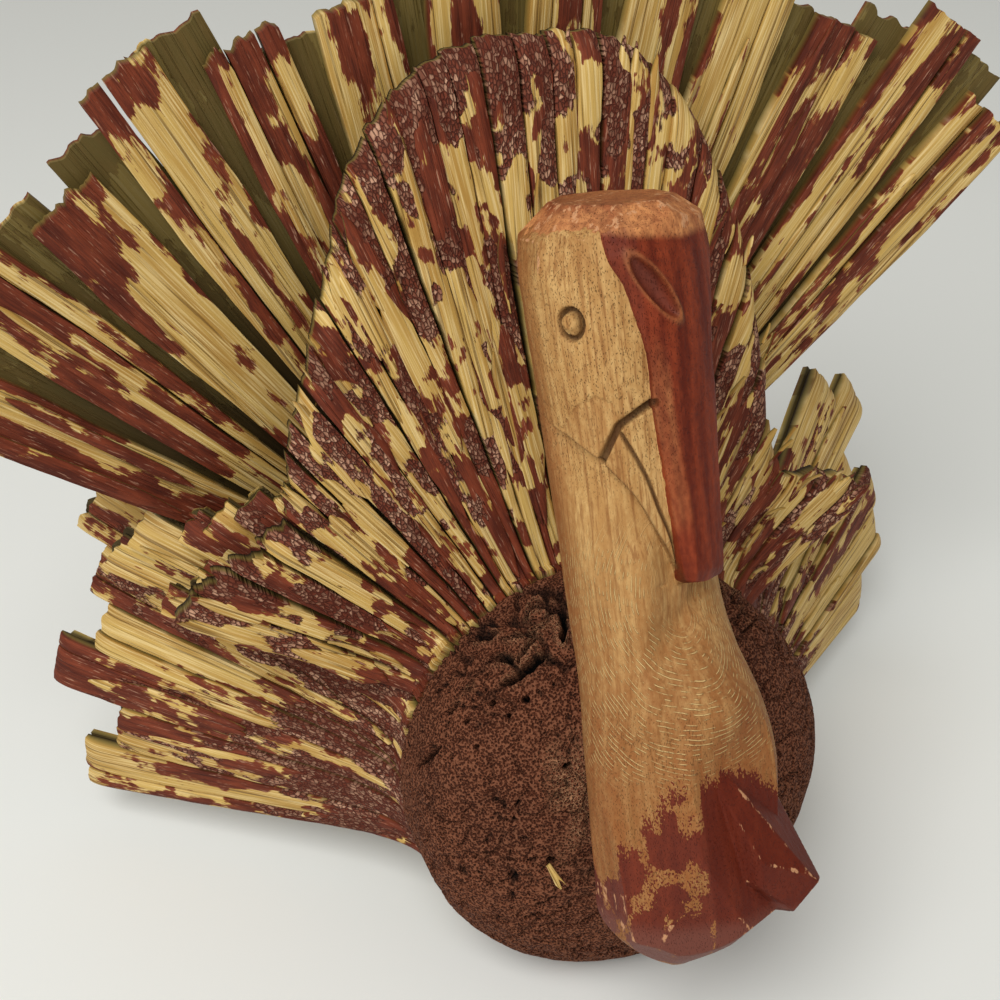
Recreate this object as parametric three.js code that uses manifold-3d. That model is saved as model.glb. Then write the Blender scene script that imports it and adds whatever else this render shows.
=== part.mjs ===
// Turkey table figure: a carved wooden head pegged to the butt end of a bundle of dried leaf stalks.
// The leaves are bound behind the breast and spread into a cape, two wings and an upright tail.
// Millimetres, +Z up. The bird faces -Y and stands on the plane Z = 0, with its breast over the origin.
import * as THREE from "three";
import { mergeVertices } from "three/addons/utils/BufferGeometryUtils.js";
import Module from "manifold-3d";

// Fits
const FIT_GAP = 0.3;
const LEAF_GAP = 0.8;

// Breast: the packed leaf butts, domed at the front, on the axis of the bundle
const BREAST_RADIUS = 52;
const BREAST_BULGE = 30;
const BREAST_REAR = 12;
const AXIS_HEIGHT = 48;
const BUNDLE_TILT = 12;
const COLLAR_LENGTH = 12;
const ROOT_SEAT = 4;
const CORE_END = 78;
const STALK_BUNCHES = 6;
const STALK_UNEVEN = 8;
const STALK_MIDDLE_RADIUS = 10;

// Cape: trimmed leaves that rise from the breast to an arched rim
const CAPE_COUNT = 13;
const CAPE_SPREAD = 124;
const CAPE_THICKNESS = 4.5;
const CAPE_RIM_THICKNESS = 8;
const CAPE_RIM_DEPTH = 27;
const CAPE_RIM_HEIGHT = 173;
const CAPE_RIM_HALF_WIDTH = 60;
const CAPE_FLARE = 30;
const CAPE_FLARE_START = 40;
const CAPE_ARCH_POWER = 2.8;
const CAPE_BEND_DEPTH = 8;

// Wings: long leaves that sweep back from the sides of the breast
const WING_COUNT = 6;
const WING_THICKNESS = 4;
const WING_ROOT_TOP_ANGLE = 63;
const WING_ROOT_BOTTOM_ANGLE = 118;
const WING_TIP_TOP_ANGLE = 56;
const WING_TIP_BOTTOM_ANGLE = 97;
const WING_TIP_RADIUS = 130;
const WING_TIP_DEPTH = 85;
const WING_BEND_DEPTH = 14;
const WING_TRIM = 0.05;

// Tail: two layers of long leaves that run along the waist, turn up and spread into a fan
const TAIL_FRONT_COUNT = 13;
const TAIL_SPREAD = 100;
const TAIL_TURN = -4;
const TAIL_RADIUS = 190;
const TAIL_LEAF_WIDTH = 14;
const TAIL_THICKNESS = 2.6;
const TAIL_DEPTH = 64;
const TAIL_BEND = 12;
const TAIL_LEAN = -11;
const TAIL_TRIM = 7;
const TAIL_TIP_SLOPE = 0.4;

// Binding wire round the roots of the tail leaves
const WIRE_DIAMETER = 2;
const WIRE_DEPTH = 33;

// Base leaves: flat leaves under the bundle that it stands on
const BASE_COUNT = 5;
const BASE_THICKNESS = 4;
const BASE_ROOT_PITCH = 9;
const BASE_TIP_WIDTH = 16;
const BASE_LENGTH = 96;
const BASE_SPREAD = 44;

// Carved head and neck, and the peg that holds it
const HEAD_LENGTH = 169;
const HEAD_LEAN = 11;
const HEAD_TURN = 26;
const HEAD_FOOT = 18;
const HEAD_SEAT = 12;
const HEAD_OFFSET = -2;
const SNOOD_FLANK_ANGLE = 6;
const BASE_TOP = 62;
const LOBE_TOP = 54;
const LOBE_REACH = 40;
const PEG_DIAMETER = 8;
const PEG_IN_HEAD = 22;
const PEG_IN_BREAST = 22;

// Half sizes of the carving up its length: share of the length, side, front, back
const HEAD_STATIONS = [
  [0.0, 9, 4, 10],
  [0.03, 15.5, 12, 14],
  [0.08, 21.5, 21.5, 18.5],
  [0.12, 22.3, 24, 17.5],
  [0.18, 22.3, 24, 17],
  [0.225, 21.5, 23, 17],
  [0.305, 20, 22.5, 17.5],
  [0.36, 18.6, 19.8, 18],
  [0.41, 17.6, 15, 18.6],
  [0.45, 17.2, 12.8, 19.2],
  [0.515, 17, 12, 19.8],
  [0.53, 17, 12, 19.9],
  [0.59, 17.2, 12.4, 19.9],
  [0.735, 18.4, 14, 19.6],
  [0.865, 19.8, 15.6, 18.8],
  [0.925, 19.6, 16, 19],
  [0.97, 17, 14.8, 17],
  [1.0, 10, 10, 11],
];

// Snood up the front: share of the length, half its width as an angle round the carving, height
const SNOOD_STATIONS = [
  [0.515, 23, 0],
  [0.53, 23.5, 4.3],
  [0.64, 29, 4.2],
  [0.79, 35, 2.9],
  [0.885, 45, 1.8],
  [0.965, 55, 0.5],
  [1.0, 60, 0],
];

// Knife facets: the angle that each faces round the carving, its rise, the height that its distance starts from
// on the axis, and the distance
const CROWN_FACETS = [
  [0, 85, 140, 25.6],
  [-150, 50, 140, 27.6],
  [-108, 48, 140, 27],
  [-66, 50, 140, 26.8],
  [-22, 46, 140, 26.4],
  [20, 50, 140, 26.6],
  [62, 48, 140, 26.8],
  [105, 50, 140, 27.2],
  [150, 48, 140, 27.6],
];
const BASE_FACETS = [
  [-105, -2, 30, 20.4],
  [-62, 0, 30, 20.6],
  [-12, 4, 30, 22],
  [40, 2, 30, 21.6],
  [85, 0, 30, 20.8],
  [-75, -42, 15, 17.4],
  [-38, -46, 15, 18],
  [2, -56, 15, 12],
  [50, -50, 15, 14.5],
];
const LOBE_FACETS = [
  [20, 12, 25, 25.9],
  [72, 15, 25, 21.1],
  [-15, 10, 25, 24.6],
  [-5, -45, 25, 21.6],
  [-70, -10, 25, 12],
  [110, 0, 25, 16],
  [200, 0, 25, 0],
];

// Steps of the meshes
const LEAF_CROWN = 0.5;
const LEAF_STEPS = 7;
const BEND_STEPS = 4;
const DOME_STEPS = 10;
const CORE_SIDES = 48;
const HEAD_RINGS = 34;
const HEAD_SIDES = 48;
const WIRE_SIDES = 8;
const PEG_SIDES = 24;

const rad = THREE.MathUtils.degToRad;
const { lerp, smoothstep } = THREE.MathUtils;
const wasm = await Module();
wasm.setup();

// Finishes
const finish = (color, roughness, metalness = 0) => ({ color, roughness, metalness });
const END_GRAIN = finish(0x5a3122, 0.85);
const SANDED_LEAF = finish(0xa07a4c, 0.7);
const TAIL_LEAF = finish(0xb4925a, 0.65);
const CARVED_WOOD = finish(0xb08850, 0.55);
const PEG_WOOD = finish(0xc8a878, 0.7);
const STEEL_WIRE = finish(0x6b6660, 0.5, 0.9);

function piece(name, geometry, look) {
  const mesh = new THREE.Mesh(geometry, new THREE.MeshStandardMaterial(look));
  mesh.name = name;
  return mesh;
}

const numbered = (stem, i) => `${stem}_${String(i + 1).padStart(2, "0")}`;

// Closed meshes to solids that can be joined and cut, and back
function toSolid(geometry) {
  const bare = geometry.clone();
  bare.deleteAttribute("normal");
  bare.deleteAttribute("uv");
  const merged = mergeVertices(bare);
  return new wasm.Manifold(new wasm.Mesh({
    numProp: 3,
    vertProperties: new Float32Array(merged.attributes.position.array),
    triVerts: new Uint32Array(merged.index.array),
  }));
}

function fromSolid(solid) {
  const mesh = solid.getMesh();
  const geometry = new THREE.BufferGeometry();
  geometry.setAttribute("position", new THREE.BufferAttribute(mesh.vertProperties, 3));
  geometry.setIndex(new THREE.BufferAttribute(mesh.triVerts, 1));
  return geometry;
}

// A closed skin over rings of points that run anticlockwise as seen from the first ring's outside
function ringSkin(rings) {
  const count = rings[0].length;
  const last = rings.length - 1;
  const corner = (ring, k) => ring * count + (k % count);
  const index = [];
  for (let ring = 0; ring < last; ring += 1) {
    for (let k = 0; k < count; k += 1) {
      index.push(corner(ring, k), corner(ring + 1, k), corner(ring + 1, k + 1));
      index.push(corner(ring, k), corner(ring + 1, k + 1), corner(ring, k + 1));
    }
  }
  for (let k = 1; k + 1 < count; k += 1) {
    index.push(corner(0, 0), corner(0, k), corner(0, k + 1));
    index.push(corner(last, 0), corner(last, k + 1), corner(last, k));
  }
  const geometry = new THREE.BufferGeometry().setFromPoints(rings.flat());
  geometry.setIndex(index);
  return geometry;
}

// The section of a leaf: flat inside, crowned outside. The slant shifts it for a tip cut on the skew.
function leafRing(centre, across, outward, width, thickness, slant) {
  const half = width / 2;
  const face = thickness / 2;
  const edge = face - LEAF_CROWN;
  const section = [[-half, -face], [half, -face], [half, edge], [0, face], [-half, edge]];
  return section.map(([u, v]) => centre.clone()
    .addScaledVector(across, u)
    .addScaledVector(outward, v)
    .addScaledVector(slant, u));
}

// A leaf along stations, each with its depth, radius and angle round the axis of the bundle
function leaf(stations, tipSlope) {
  const last = stations.length - 1;
  const centres = stations.map(({ radius, angle, depth }) =>
    new THREE.Vector3(radius * Math.sin(angle), depth, radius * Math.cos(angle)));
  const rings = stations.map(({ angle, width, thickness }, i) => {
    const ahead = centres[Math.min(i + 1, last)].clone().sub(centres[Math.max(i - 1, 0)]).normalize();
    const across = new THREE.Vector3(Math.cos(angle), 0, -Math.sin(angle));
    across.addScaledVector(ahead, -across.dot(ahead)).normalize();
    const outward = new THREE.Vector3().crossVectors(across, ahead);
    const slant = ahead.clone().multiplyScalar(i === last ? tipSlope : 0);
    return leafRing(centres[i], across, outward, width, thickness, slant);
  });
  return ringSkin(rings);
}

// The widest strip that stays inside its own wedge of the bundle
const wedgeWidth = (radius, thickness, wedge) =>
  2 * (radius - thickness / 2) * Math.tan(wedge / 2) - LEAF_GAP;

// Uneven hand trimming of the leaf tips, from -1 to 1
const TRIM_STEP = 2.4;
const trim = (i) => Math.sin(TRIM_STEP * i);

// The bundle lies with its thick end forward, so its axis falls to the rear
const tilt = rad(BUNDLE_TILT);
const turkey = new THREE.Group();
const bundle = new THREE.Group();
bundle.position.set(0, AXIS_HEIGHT * Math.tan(tilt), AXIS_HEIGHT);
bundle.rotation.x = -tilt;
bundle.updateMatrix();
turkey.add(bundle);

// Seats on the bundle
const collarRadius = BREAST_RADIUS - CAPE_THICKNESS - FIT_GAP;
const leafRoot = BREAST_REAR + FIT_GAP;
const collarEnd = BREAST_REAR + COLLAR_LENGTH;
const tailPitch = TAIL_THICKNESS + FIT_GAP;
const tailLayerShift = (tailPitch * (1 - Math.sin(rad(TAIL_LEAN)))) / Math.cos(rad(TAIL_LEAN));
const baseSeat = BASE_THICKNESS + FIT_GAP;
const baseRoot = bundle.position.y + BREAST_REAR / Math.cos(tilt)
  - (AXIS_HEIGHT - BASE_THICKNESS) * Math.tan(tilt) + FIT_GAP;

// The wire hoop just clears the base leaves, and the waist fills it under two layers of tail leaves
const hoopDrop = (WIRE_DEPTH + WIRE_DIAMETER / 2) * Math.sin(tilt);
const hoopOutside = (AXIS_HEIGHT - hoopDrop - baseSeat) / Math.cos(tilt);
const hoopInside = hoopOutside - WIRE_DIAMETER;
const tailFrontSeat = hoopInside - FIT_GAP - TAIL_THICKNESS / 2;
const tailBackSeat = tailFrontSeat - tailPitch;
const waistRadius = tailBackSeat - TAIL_THICKNESS / 2 - FIT_GAP;

// Bundle core: dome, collar that the cape and wing leaves lie on, and waist for the tail leaves
function domeProfile(grow) {
  const points = [];
  for (let i = 0; i <= DOME_STEPS; i += 1) {
    const turn = (Math.PI / 2) * (i / DOME_STEPS);
    const radius = i === 0 ? 0 : (BREAST_RADIUS + grow) * Math.sin(turn);
    points.push(new THREE.Vector2(radius, -(BREAST_BULGE + grow) * Math.cos(turn)));
  }
  points.push(new THREE.Vector2(BREAST_RADIUS + grow, BREAST_REAR), new THREE.Vector2(0, BREAST_REAR));
  return points;
}

const turned = (points) => toSolid(new THREE.LatheGeometry(points, CORE_SIDES));

// A level block that takes away everything of the bundle below a height over the table
function blockBelow(height) {
  const size = 4 * (BREAST_RADIUS + BREAST_BULGE + CORE_END);
  const block = new THREE.BoxGeometry(size, size, size).translate(0, 0, height - size / 2);
  return toSolid(block.applyMatrix4(bundle.matrix.clone().invert()));
}

function pegSolid(grow) {
  const length = PEG_IN_HEAD + PEG_IN_BREAST + 2 * grow;
  const middle = -BREAST_BULGE + (PEG_IN_BREAST - PEG_IN_HEAD) / 2;
  return toSolid(new THREE.CylinderGeometry(PEG_DIAMETER / 2 + grow, PEG_DIAMETER / 2 + grow, length, PEG_SIDES)
    .translate(0, middle, 0));
}

// Bunches of stalks behind the waist, each cut at its own length: one in the middle and the rest round it
function stalkBunch(i) {
  const from = (2 * Math.PI * i) / STALK_BUNCHES;
  const to = (2 * Math.PI * (i + 1)) / STALK_BUNCHES;
  const outline = new THREE.Shape().moveTo(0, 0).absarc(0, 0, waistRadius, from, to);
  const cut = (STALK_UNEVEN * (1 - trim(i))) / 2;
  const length = CORE_END - cut - collarEnd;
  const steps = CORE_SIDES / STALK_BUNCHES;
  return toSolid(new THREE.ExtrudeGeometry(outline, { depth: length, bevelEnabled: false, curveSegments: steps })
    .rotateX(-Math.PI / 2).translate(0, collarEnd, 0));
}

function bundleCore() {
  const shoulder = (collarRadius - waistRadius) / 2;
  let rear = turned([
    new THREE.Vector2(0, 0),
    new THREE.Vector2(collarRadius, 0),
    new THREE.Vector2(collarRadius, collarEnd - shoulder),
    new THREE.Vector2(waistRadius, collarEnd),
    new THREE.Vector2(waistRadius, CORE_END - STALK_UNEVEN),
    new THREE.Vector2(STALK_MIDDLE_RADIUS, CORE_END - STALK_UNEVEN),
    new THREE.Vector2(STALK_MIDDLE_RADIUS, CORE_END),
    new THREE.Vector2(0, CORE_END),
  ]);
  for (let i = 0; i < STALK_BUNCHES; i += 1) {
    rear = rear.add(stalkBunch(i));
  }
  const dome = turned(domeProfile(0)).subtract(blockBelow(0));
  return fromSolid(dome.add(rear.subtract(blockBelow(baseSeat))).subtract(pegSolid(FIT_GAP)));
}

// Cape leaves follow a curve from the collar to the arch
function archRadius(angle) {
  const wide = Math.abs(Math.sin(angle)) / CAPE_RIM_HALF_WIDTH;
  const high = Math.abs(Math.cos(angle)) / CAPE_RIM_HEIGHT;
  const arch = (wide ** CAPE_ARCH_POWER + high ** CAPE_ARCH_POWER) ** (-1 / CAPE_ARCH_POWER);
  return arch + CAPE_FLARE * smoothstep(Math.abs(angle), rad(CAPE_FLARE_START), rad(CAPE_SPREAD) / 2);
}

function capeLeaf(i) {
  const wedge = rad(CAPE_SPREAD) / CAPE_COUNT;
  const angle = (i - (CAPE_COUNT - 1) / 2) * wedge;
  const seat = collarRadius + FIT_GAP + CAPE_THICKNESS / 2;
  const rim = archRadius(angle);
  const run = new THREE.QuadraticBezierCurve(
    new THREE.Vector2(leafRoot + ROOT_SEAT, seat),
    new THREE.Vector2(leafRoot + ROOT_SEAT + CAPE_BEND_DEPTH, seat),
    new THREE.Vector2(CAPE_RIM_DEPTH, rim),
  );
  const root = new THREE.Vector2(leafRoot, seat);
  const stations = [root, ...run.getPoints(LEAF_STEPS)].map(({ x: depth, y: radius }) => {
    const thickness = lerp(CAPE_THICKNESS, CAPE_RIM_THICKNESS, (radius - seat) / (rim - seat));
    return { depth, radius, angle, width: wedgeWidth(radius, thickness, wedge), thickness };
  });
  return leaf(stations, 0);
}

// Wing leaves share one run, and each keeps its own wedge from root to tip
function wingLeaf(i, side) {
  const seat = collarRadius + FIT_GAP + WING_THICKNESS / 2;
  const run = new THREE.QuadraticBezierCurve(
    new THREE.Vector2(leafRoot + ROOT_SEAT, seat),
    new THREE.Vector2(leafRoot + ROOT_SEAT + WING_BEND_DEPTH, seat),
    new THREE.Vector2(WING_TIP_DEPTH, WING_TIP_RADIUS),
  );
  const share = (i + 0.5) / WING_COUNT;
  const length = 1 - WING_TRIM * (1 + trim(i + side));
  const station = (depth, radius, along) => {
    const top = rad(lerp(WING_ROOT_TOP_ANGLE, WING_TIP_TOP_ANGLE, along));
    const bottom = rad(lerp(WING_ROOT_BOTTOM_ANGLE, WING_TIP_BOTTOM_ANGLE, along));
    const wedge = (bottom - top) / WING_COUNT;
    return {
      depth,
      radius,
      angle: side * lerp(top, bottom, share),
      width: wedgeWidth(radius, WING_THICKNESS, wedge),
      thickness: WING_THICKNESS,
    };
  };
  const stations = [station(leafRoot, seat, 0)];
  for (let step = 0; step <= LEAF_STEPS; step += 1) {
    const along = length * (step / LEAF_STEPS);
    const { x: depth, y: radius } = run.getPoint(along);
    stations.push(station(depth, radius, along));
  }
  return leaf(stations, 0);
}

// Tail leaves run back along the waist, turn through the bend and rise to their tips
function tailLeaf(place, seat, depthOfBlade) {
  const wedge = rad(TAIL_SPREAD) / TAIL_FRONT_COUNT;
  const angle = rad(TAIL_TURN) + (place - (TAIL_FRONT_COUNT - 1) / 2) * wedge;
  const lean = rad(TAIL_LEAN);
  const run = [{ depth: collarEnd + FIT_GAP, radius: seat }];
  for (let step = 0; step <= BEND_STEPS; step += 1) {
    const turn = (Math.PI / 2 - lean) * (step / BEND_STEPS);
    run.push({
      depth: depthOfBlade - TAIL_BEND + TAIL_BEND * Math.sin(turn),
      radius: seat + TAIL_BEND * (1 - Math.cos(turn)),
    });
  }
  const foot = run[run.length - 1];
  const rise = TAIL_RADIUS + TAIL_TRIM * trim(place) - foot.radius;
  for (let step = 1; step <= LEAF_STEPS; step += 1) {
    const climbed = rise * (step / LEAF_STEPS);
    run.push({ depth: foot.depth + climbed * Math.tan(lean), radius: foot.radius + climbed });
  }
  const stations = run.map(({ depth, radius }) => ({
    depth,
    radius,
    angle,
    width: Math.min(TAIL_LEAF_WIDTH, wedgeWidth(radius, TAIL_THICKNESS, wedge)),
    thickness: TAIL_THICKNESS,
  }));
  return leaf(stations, TAIL_TIP_SLOPE * trim(place + 1));
}

// Binding wire: a hoop over the tail leaves
function bindingWire() {
  const radius = hoopInside + WIRE_DIAMETER / 2;
  const profile = [];
  for (let k = 0; k <= WIRE_SIDES; k += 1) {
    const turn = (2 * Math.PI * (k % WIRE_SIDES)) / WIRE_SIDES;
    profile.push(new THREE.Vector2(
      radius + (WIRE_DIAMETER / 2) * Math.cos(turn),
      WIRE_DEPTH + (WIRE_DIAMETER / 2) * Math.sin(turn),
    ));
  }
  return fromSolid(turned(profile));
}

// Base leaves lie flat and spread to the rear from the back of the breast
function baseLeaf(i) {
  const place = i - (BASE_COUNT - 1) / 2;
  const turn = (place * rad(BASE_SPREAD)) / (BASE_COUNT - 1);
  const ahead = new THREE.Vector3(Math.sin(turn), Math.cos(turn), 0);
  const outward = new THREE.Vector3(0, 0, 1);
  const still = new THREE.Vector3();
  const square = new THREE.Vector3(1, 0, 0);
  const root = new THREE.Vector3(place * BASE_ROOT_PITCH, baseRoot, BASE_THICKNESS / 2);
  const tip = root.clone().addScaledVector(ahead, BASE_LENGTH);
  const across = new THREE.Vector3(ahead.y, -ahead.x, 0);
  return ringSkin([
    leafRing(root, square, outward, BASE_ROOT_PITCH - LEAF_GAP, BASE_THICKNESS, still),
    leafRing(tip, across, outward, BASE_TIP_WIDTH, BASE_THICKNESS, still),
  ]);
}

// The row of a table at a share of the length, with straight steps between its rows
function rowAt(table, share) {
  const next = Math.max(1, table.findIndex(([from]) => from >= share));
  const [low, high] = [table[next - 1], table[next]];
  const along = THREE.MathUtils.clamp((share - low[0]) / (high[0] - low[0]), 0, 1);
  return low.map((value, i) => lerp(value, high[i], along));
}

// Carved head: an oval log with its own front and back, and a snood that stands out down the front
function headLog() {
  const line = new THREE.CatmullRomCurve3(
    HEAD_STATIONS.map(([, side, front, back]) => new THREE.Vector3(side, front, back)),
    false,
    "centripetal",
  );
  const rings = [];
  for (let ring = 0; ring <= HEAD_RINGS; ring += 1) {
    const along = (ring / HEAD_RINGS) * (HEAD_STATIONS.length - 1);
    const from = Math.min(Math.floor(along), HEAD_STATIONS.length - 2);
    const share = lerp(HEAD_STATIONS[from][0], HEAD_STATIONS[from + 1][0], along - from);
    const { x: side, y: front, z: back } = line.getPoint(ring / HEAD_RINGS);
    const [, edge, snood] = rowAt(SNOOD_STATIONS, share);
    const points = [];
    for (let k = 0; k < HEAD_SIDES; k += 1) {
      const turn = (-2 * Math.PI * k) / HEAD_SIDES;
      const depth = Math.cos(turn) > 0 ? front : back;
      const x = side * Math.sin(turn);
      const y = -depth * Math.cos(turn);
      const angle = THREE.MathUtils.radToDeg(Math.atan2(x, -y));
      const inside = edge - Math.abs(angle);
      const ridge = 1 + (snood * smoothstep(inside, 0, SNOOD_FLANK_ANGLE)) / Math.hypot(x, y);
      points.push(new THREE.Vector3(x * ridge, y * ridge, HEAD_LENGTH * share));
    }
    rings.push(points);
  }
  return toSolid(ringSkin(rings));
}

// Cuts away all that stands out past the facets
function shaved(solid, facets) {
  return facets.reduce((rest, [facing, rising, height, distance]) => {
    const flat = Math.cos(rad(rising));
    const up = Math.sin(rad(rising));
    const inward = [-flat * Math.sin(rad(facing)), flat * Math.cos(rad(facing)), -up];
    return rest.trimByPlane(inward, -distance - height * up);
  }, solid);
}

// The carving leans back and looks a little to its left, and its back is hollowed to sit on the dome
function carvedHead() {
  const axis = new THREE.Vector3(0, Math.sin(rad(HEAD_LEAN)), Math.cos(rad(HEAD_LEAN)));
  const foot = new THREE.Vector3(HEAD_OFFSET, -BREAST_BULGE - HEAD_SEAT, 0).addScaledVector(axis, -HEAD_FOOT);
  const placed = new THREE.Matrix4().makeTranslation(foot)
    .multiply(new THREE.Matrix4().makeRotationX(-rad(HEAD_LEAN)))
    .multiply(new THREE.Matrix4().makeRotationZ(rad(HEAD_TURN)));
  const block = new THREE.BoxGeometry(2 * LOBE_REACH, 2 * LOBE_REACH, LOBE_TOP).translate(0, 0, LOBE_TOP / 2);
  const lobe = shaved(toSolid(block), LOBE_FACETS);
  const [upper, lower] = headLog().splitByPlane([0, 0, 1], BASE_TOP);
  const carving = shaved(upper, CROWN_FACETS).add(shaved(lower, BASE_FACETS)).add(lobe);
  const seated = toSolid(fromSolid(carving).applyMatrix4(placed));
  return fromSolid(seated.subtract(turned(domeProfile(FIT_GAP))).subtract(pegSolid(FIT_GAP)));
}

// Assembly
bundle.add(piece("breast_core", bundleCore(), END_GRAIN));
bundle.add(piece("carved_head", carvedHead(), CARVED_WOOD));
bundle.add(piece("head_peg", fromSolid(pegSolid(0)), PEG_WOOD));
bundle.add(piece("binding_wire", bindingWire(), STEEL_WIRE));
for (let i = 0; i < CAPE_COUNT; i += 1) {
  bundle.add(piece(numbered("cape_leaf", i), capeLeaf(i), SANDED_LEAF));
}
for (let i = 0; i < WING_COUNT; i += 1) {
  bundle.add(piece(numbered("right_wing_leaf", i), wingLeaf(i, -1), SANDED_LEAF));
  bundle.add(piece(numbered("left_wing_leaf", i), wingLeaf(i, 1), SANDED_LEAF));
}
for (let i = 0; i < TAIL_FRONT_COUNT; i += 1) {
  bundle.add(piece(numbered("tail_front_leaf", i), tailLeaf(i, tailFrontSeat, TAIL_DEPTH), TAIL_LEAF));
}
for (let i = 0; i + 1 < TAIL_FRONT_COUNT; i += 1) {
  const blade = tailLeaf(i + 0.5, tailBackSeat, TAIL_DEPTH + tailLayerShift);
  bundle.add(piece(numbered("tail_back_leaf", i), blade, TAIL_LEAF));
}
for (let i = 0; i < BASE_COUNT; i += 1) {
  turkey.add(piece(numbered("base_leaf", i), baseLeaf(i), TAIL_LEAF));
}

export default turkey;
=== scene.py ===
# %% [markdown]
# # A harvest turkey, dressed
#
# The figure is a carved wooden head on the butt end of a bundle of dried leaf stalks. Behind the round
# breast the leaves spread into a cape, two wings and a tall tail. They were painted red-brown and sanded
# back, so straw shows through in patches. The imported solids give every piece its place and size. This
# lesson adds the surfaces: torn strips, spongy end grain, knife cuts and worn paint, all as meshes and
# procedural materials.

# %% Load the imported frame
import math

import bpy
import numpy as np
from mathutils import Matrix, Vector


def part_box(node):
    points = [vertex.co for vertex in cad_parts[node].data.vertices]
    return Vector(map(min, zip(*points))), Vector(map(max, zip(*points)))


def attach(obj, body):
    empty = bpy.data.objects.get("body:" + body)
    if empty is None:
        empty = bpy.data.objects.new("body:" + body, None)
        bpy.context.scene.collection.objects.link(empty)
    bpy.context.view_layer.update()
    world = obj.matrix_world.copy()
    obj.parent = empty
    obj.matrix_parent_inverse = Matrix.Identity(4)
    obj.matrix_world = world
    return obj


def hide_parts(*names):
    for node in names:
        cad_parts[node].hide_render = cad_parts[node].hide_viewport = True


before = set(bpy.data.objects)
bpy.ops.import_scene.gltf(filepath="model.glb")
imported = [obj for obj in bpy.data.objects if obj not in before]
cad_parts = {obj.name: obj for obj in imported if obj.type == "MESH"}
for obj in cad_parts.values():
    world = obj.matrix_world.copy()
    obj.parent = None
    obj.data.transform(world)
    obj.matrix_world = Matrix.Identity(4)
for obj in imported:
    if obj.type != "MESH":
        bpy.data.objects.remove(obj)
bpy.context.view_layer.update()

MM = 0.001

# %% [markdown]
# ## Camera
#
# The camera comes first, because it decides which details matter. It looks down on the breast from in front
# and a little to the bird's right. The breast doesn't sit in the middle of the picture, so the camera is
# slid sideways and up in its own plane. That keeps the view free of lens shift, and the object looks right
# from other sides too.

# %% Camera at the photograph's angle
PICTURE = 1000
AIM = np.array([0.0, 10.2, 48.0])
AIM_PIXEL = (618, 770)
AZIMUTH = math.radians(-20)
ELEVATION = math.radians(36)
DISTANCE = 368.0
LENS = 54.0
SENSOR = 36.0

toward_eye = np.array([
    math.sin(AZIMUTH) * math.cos(ELEVATION),
    -math.cos(AZIMUTH) * math.cos(ELEVATION),
    math.sin(ELEVATION),
])
picture_right = np.array([math.cos(AZIMUTH), math.sin(AZIMUTH), 0.0])
picture_up = np.cross(toward_eye, picture_right)
pixel_size = DISTANCE * SENSOR / LENS / PICTURE
slide = picture_right * (PICTURE / 2 - AIM_PIXEL[0]) + picture_up * (AIM_PIXEL[1] - PICTURE / 2)
eye = AIM + toward_eye * DISTANCE + slide * pixel_size

camera = bpy.data.objects.new("camera", bpy.data.cameras.new("camera"))
camera.data.lens = LENS
camera.data.sensor_width = SENSOR
camera.data.clip_start = 0.01
camera.location = eye * MM
camera.rotation_euler = (math.pi / 2 - ELEVATION, 0.0, AZIMUTH)
bpy.context.scene.collection.objects.link(camera)
bpy.context.scene.camera = camera
bpy.context.scene.view_settings.view_transform = "Standard"
print("camera at", [round(float(c)) for c in eye], "mm")

# %% [markdown]
# ## A class for node maths
#
# Every finish here is a tree of shader nodes. Building one by hand takes many lines, so one small class
# wraps an output socket. Plus, minus, times and the rest add Math nodes, and `node` adds anything else.
# Colours are mixed by the Mix node, because a Math node would turn them grey.


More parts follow.
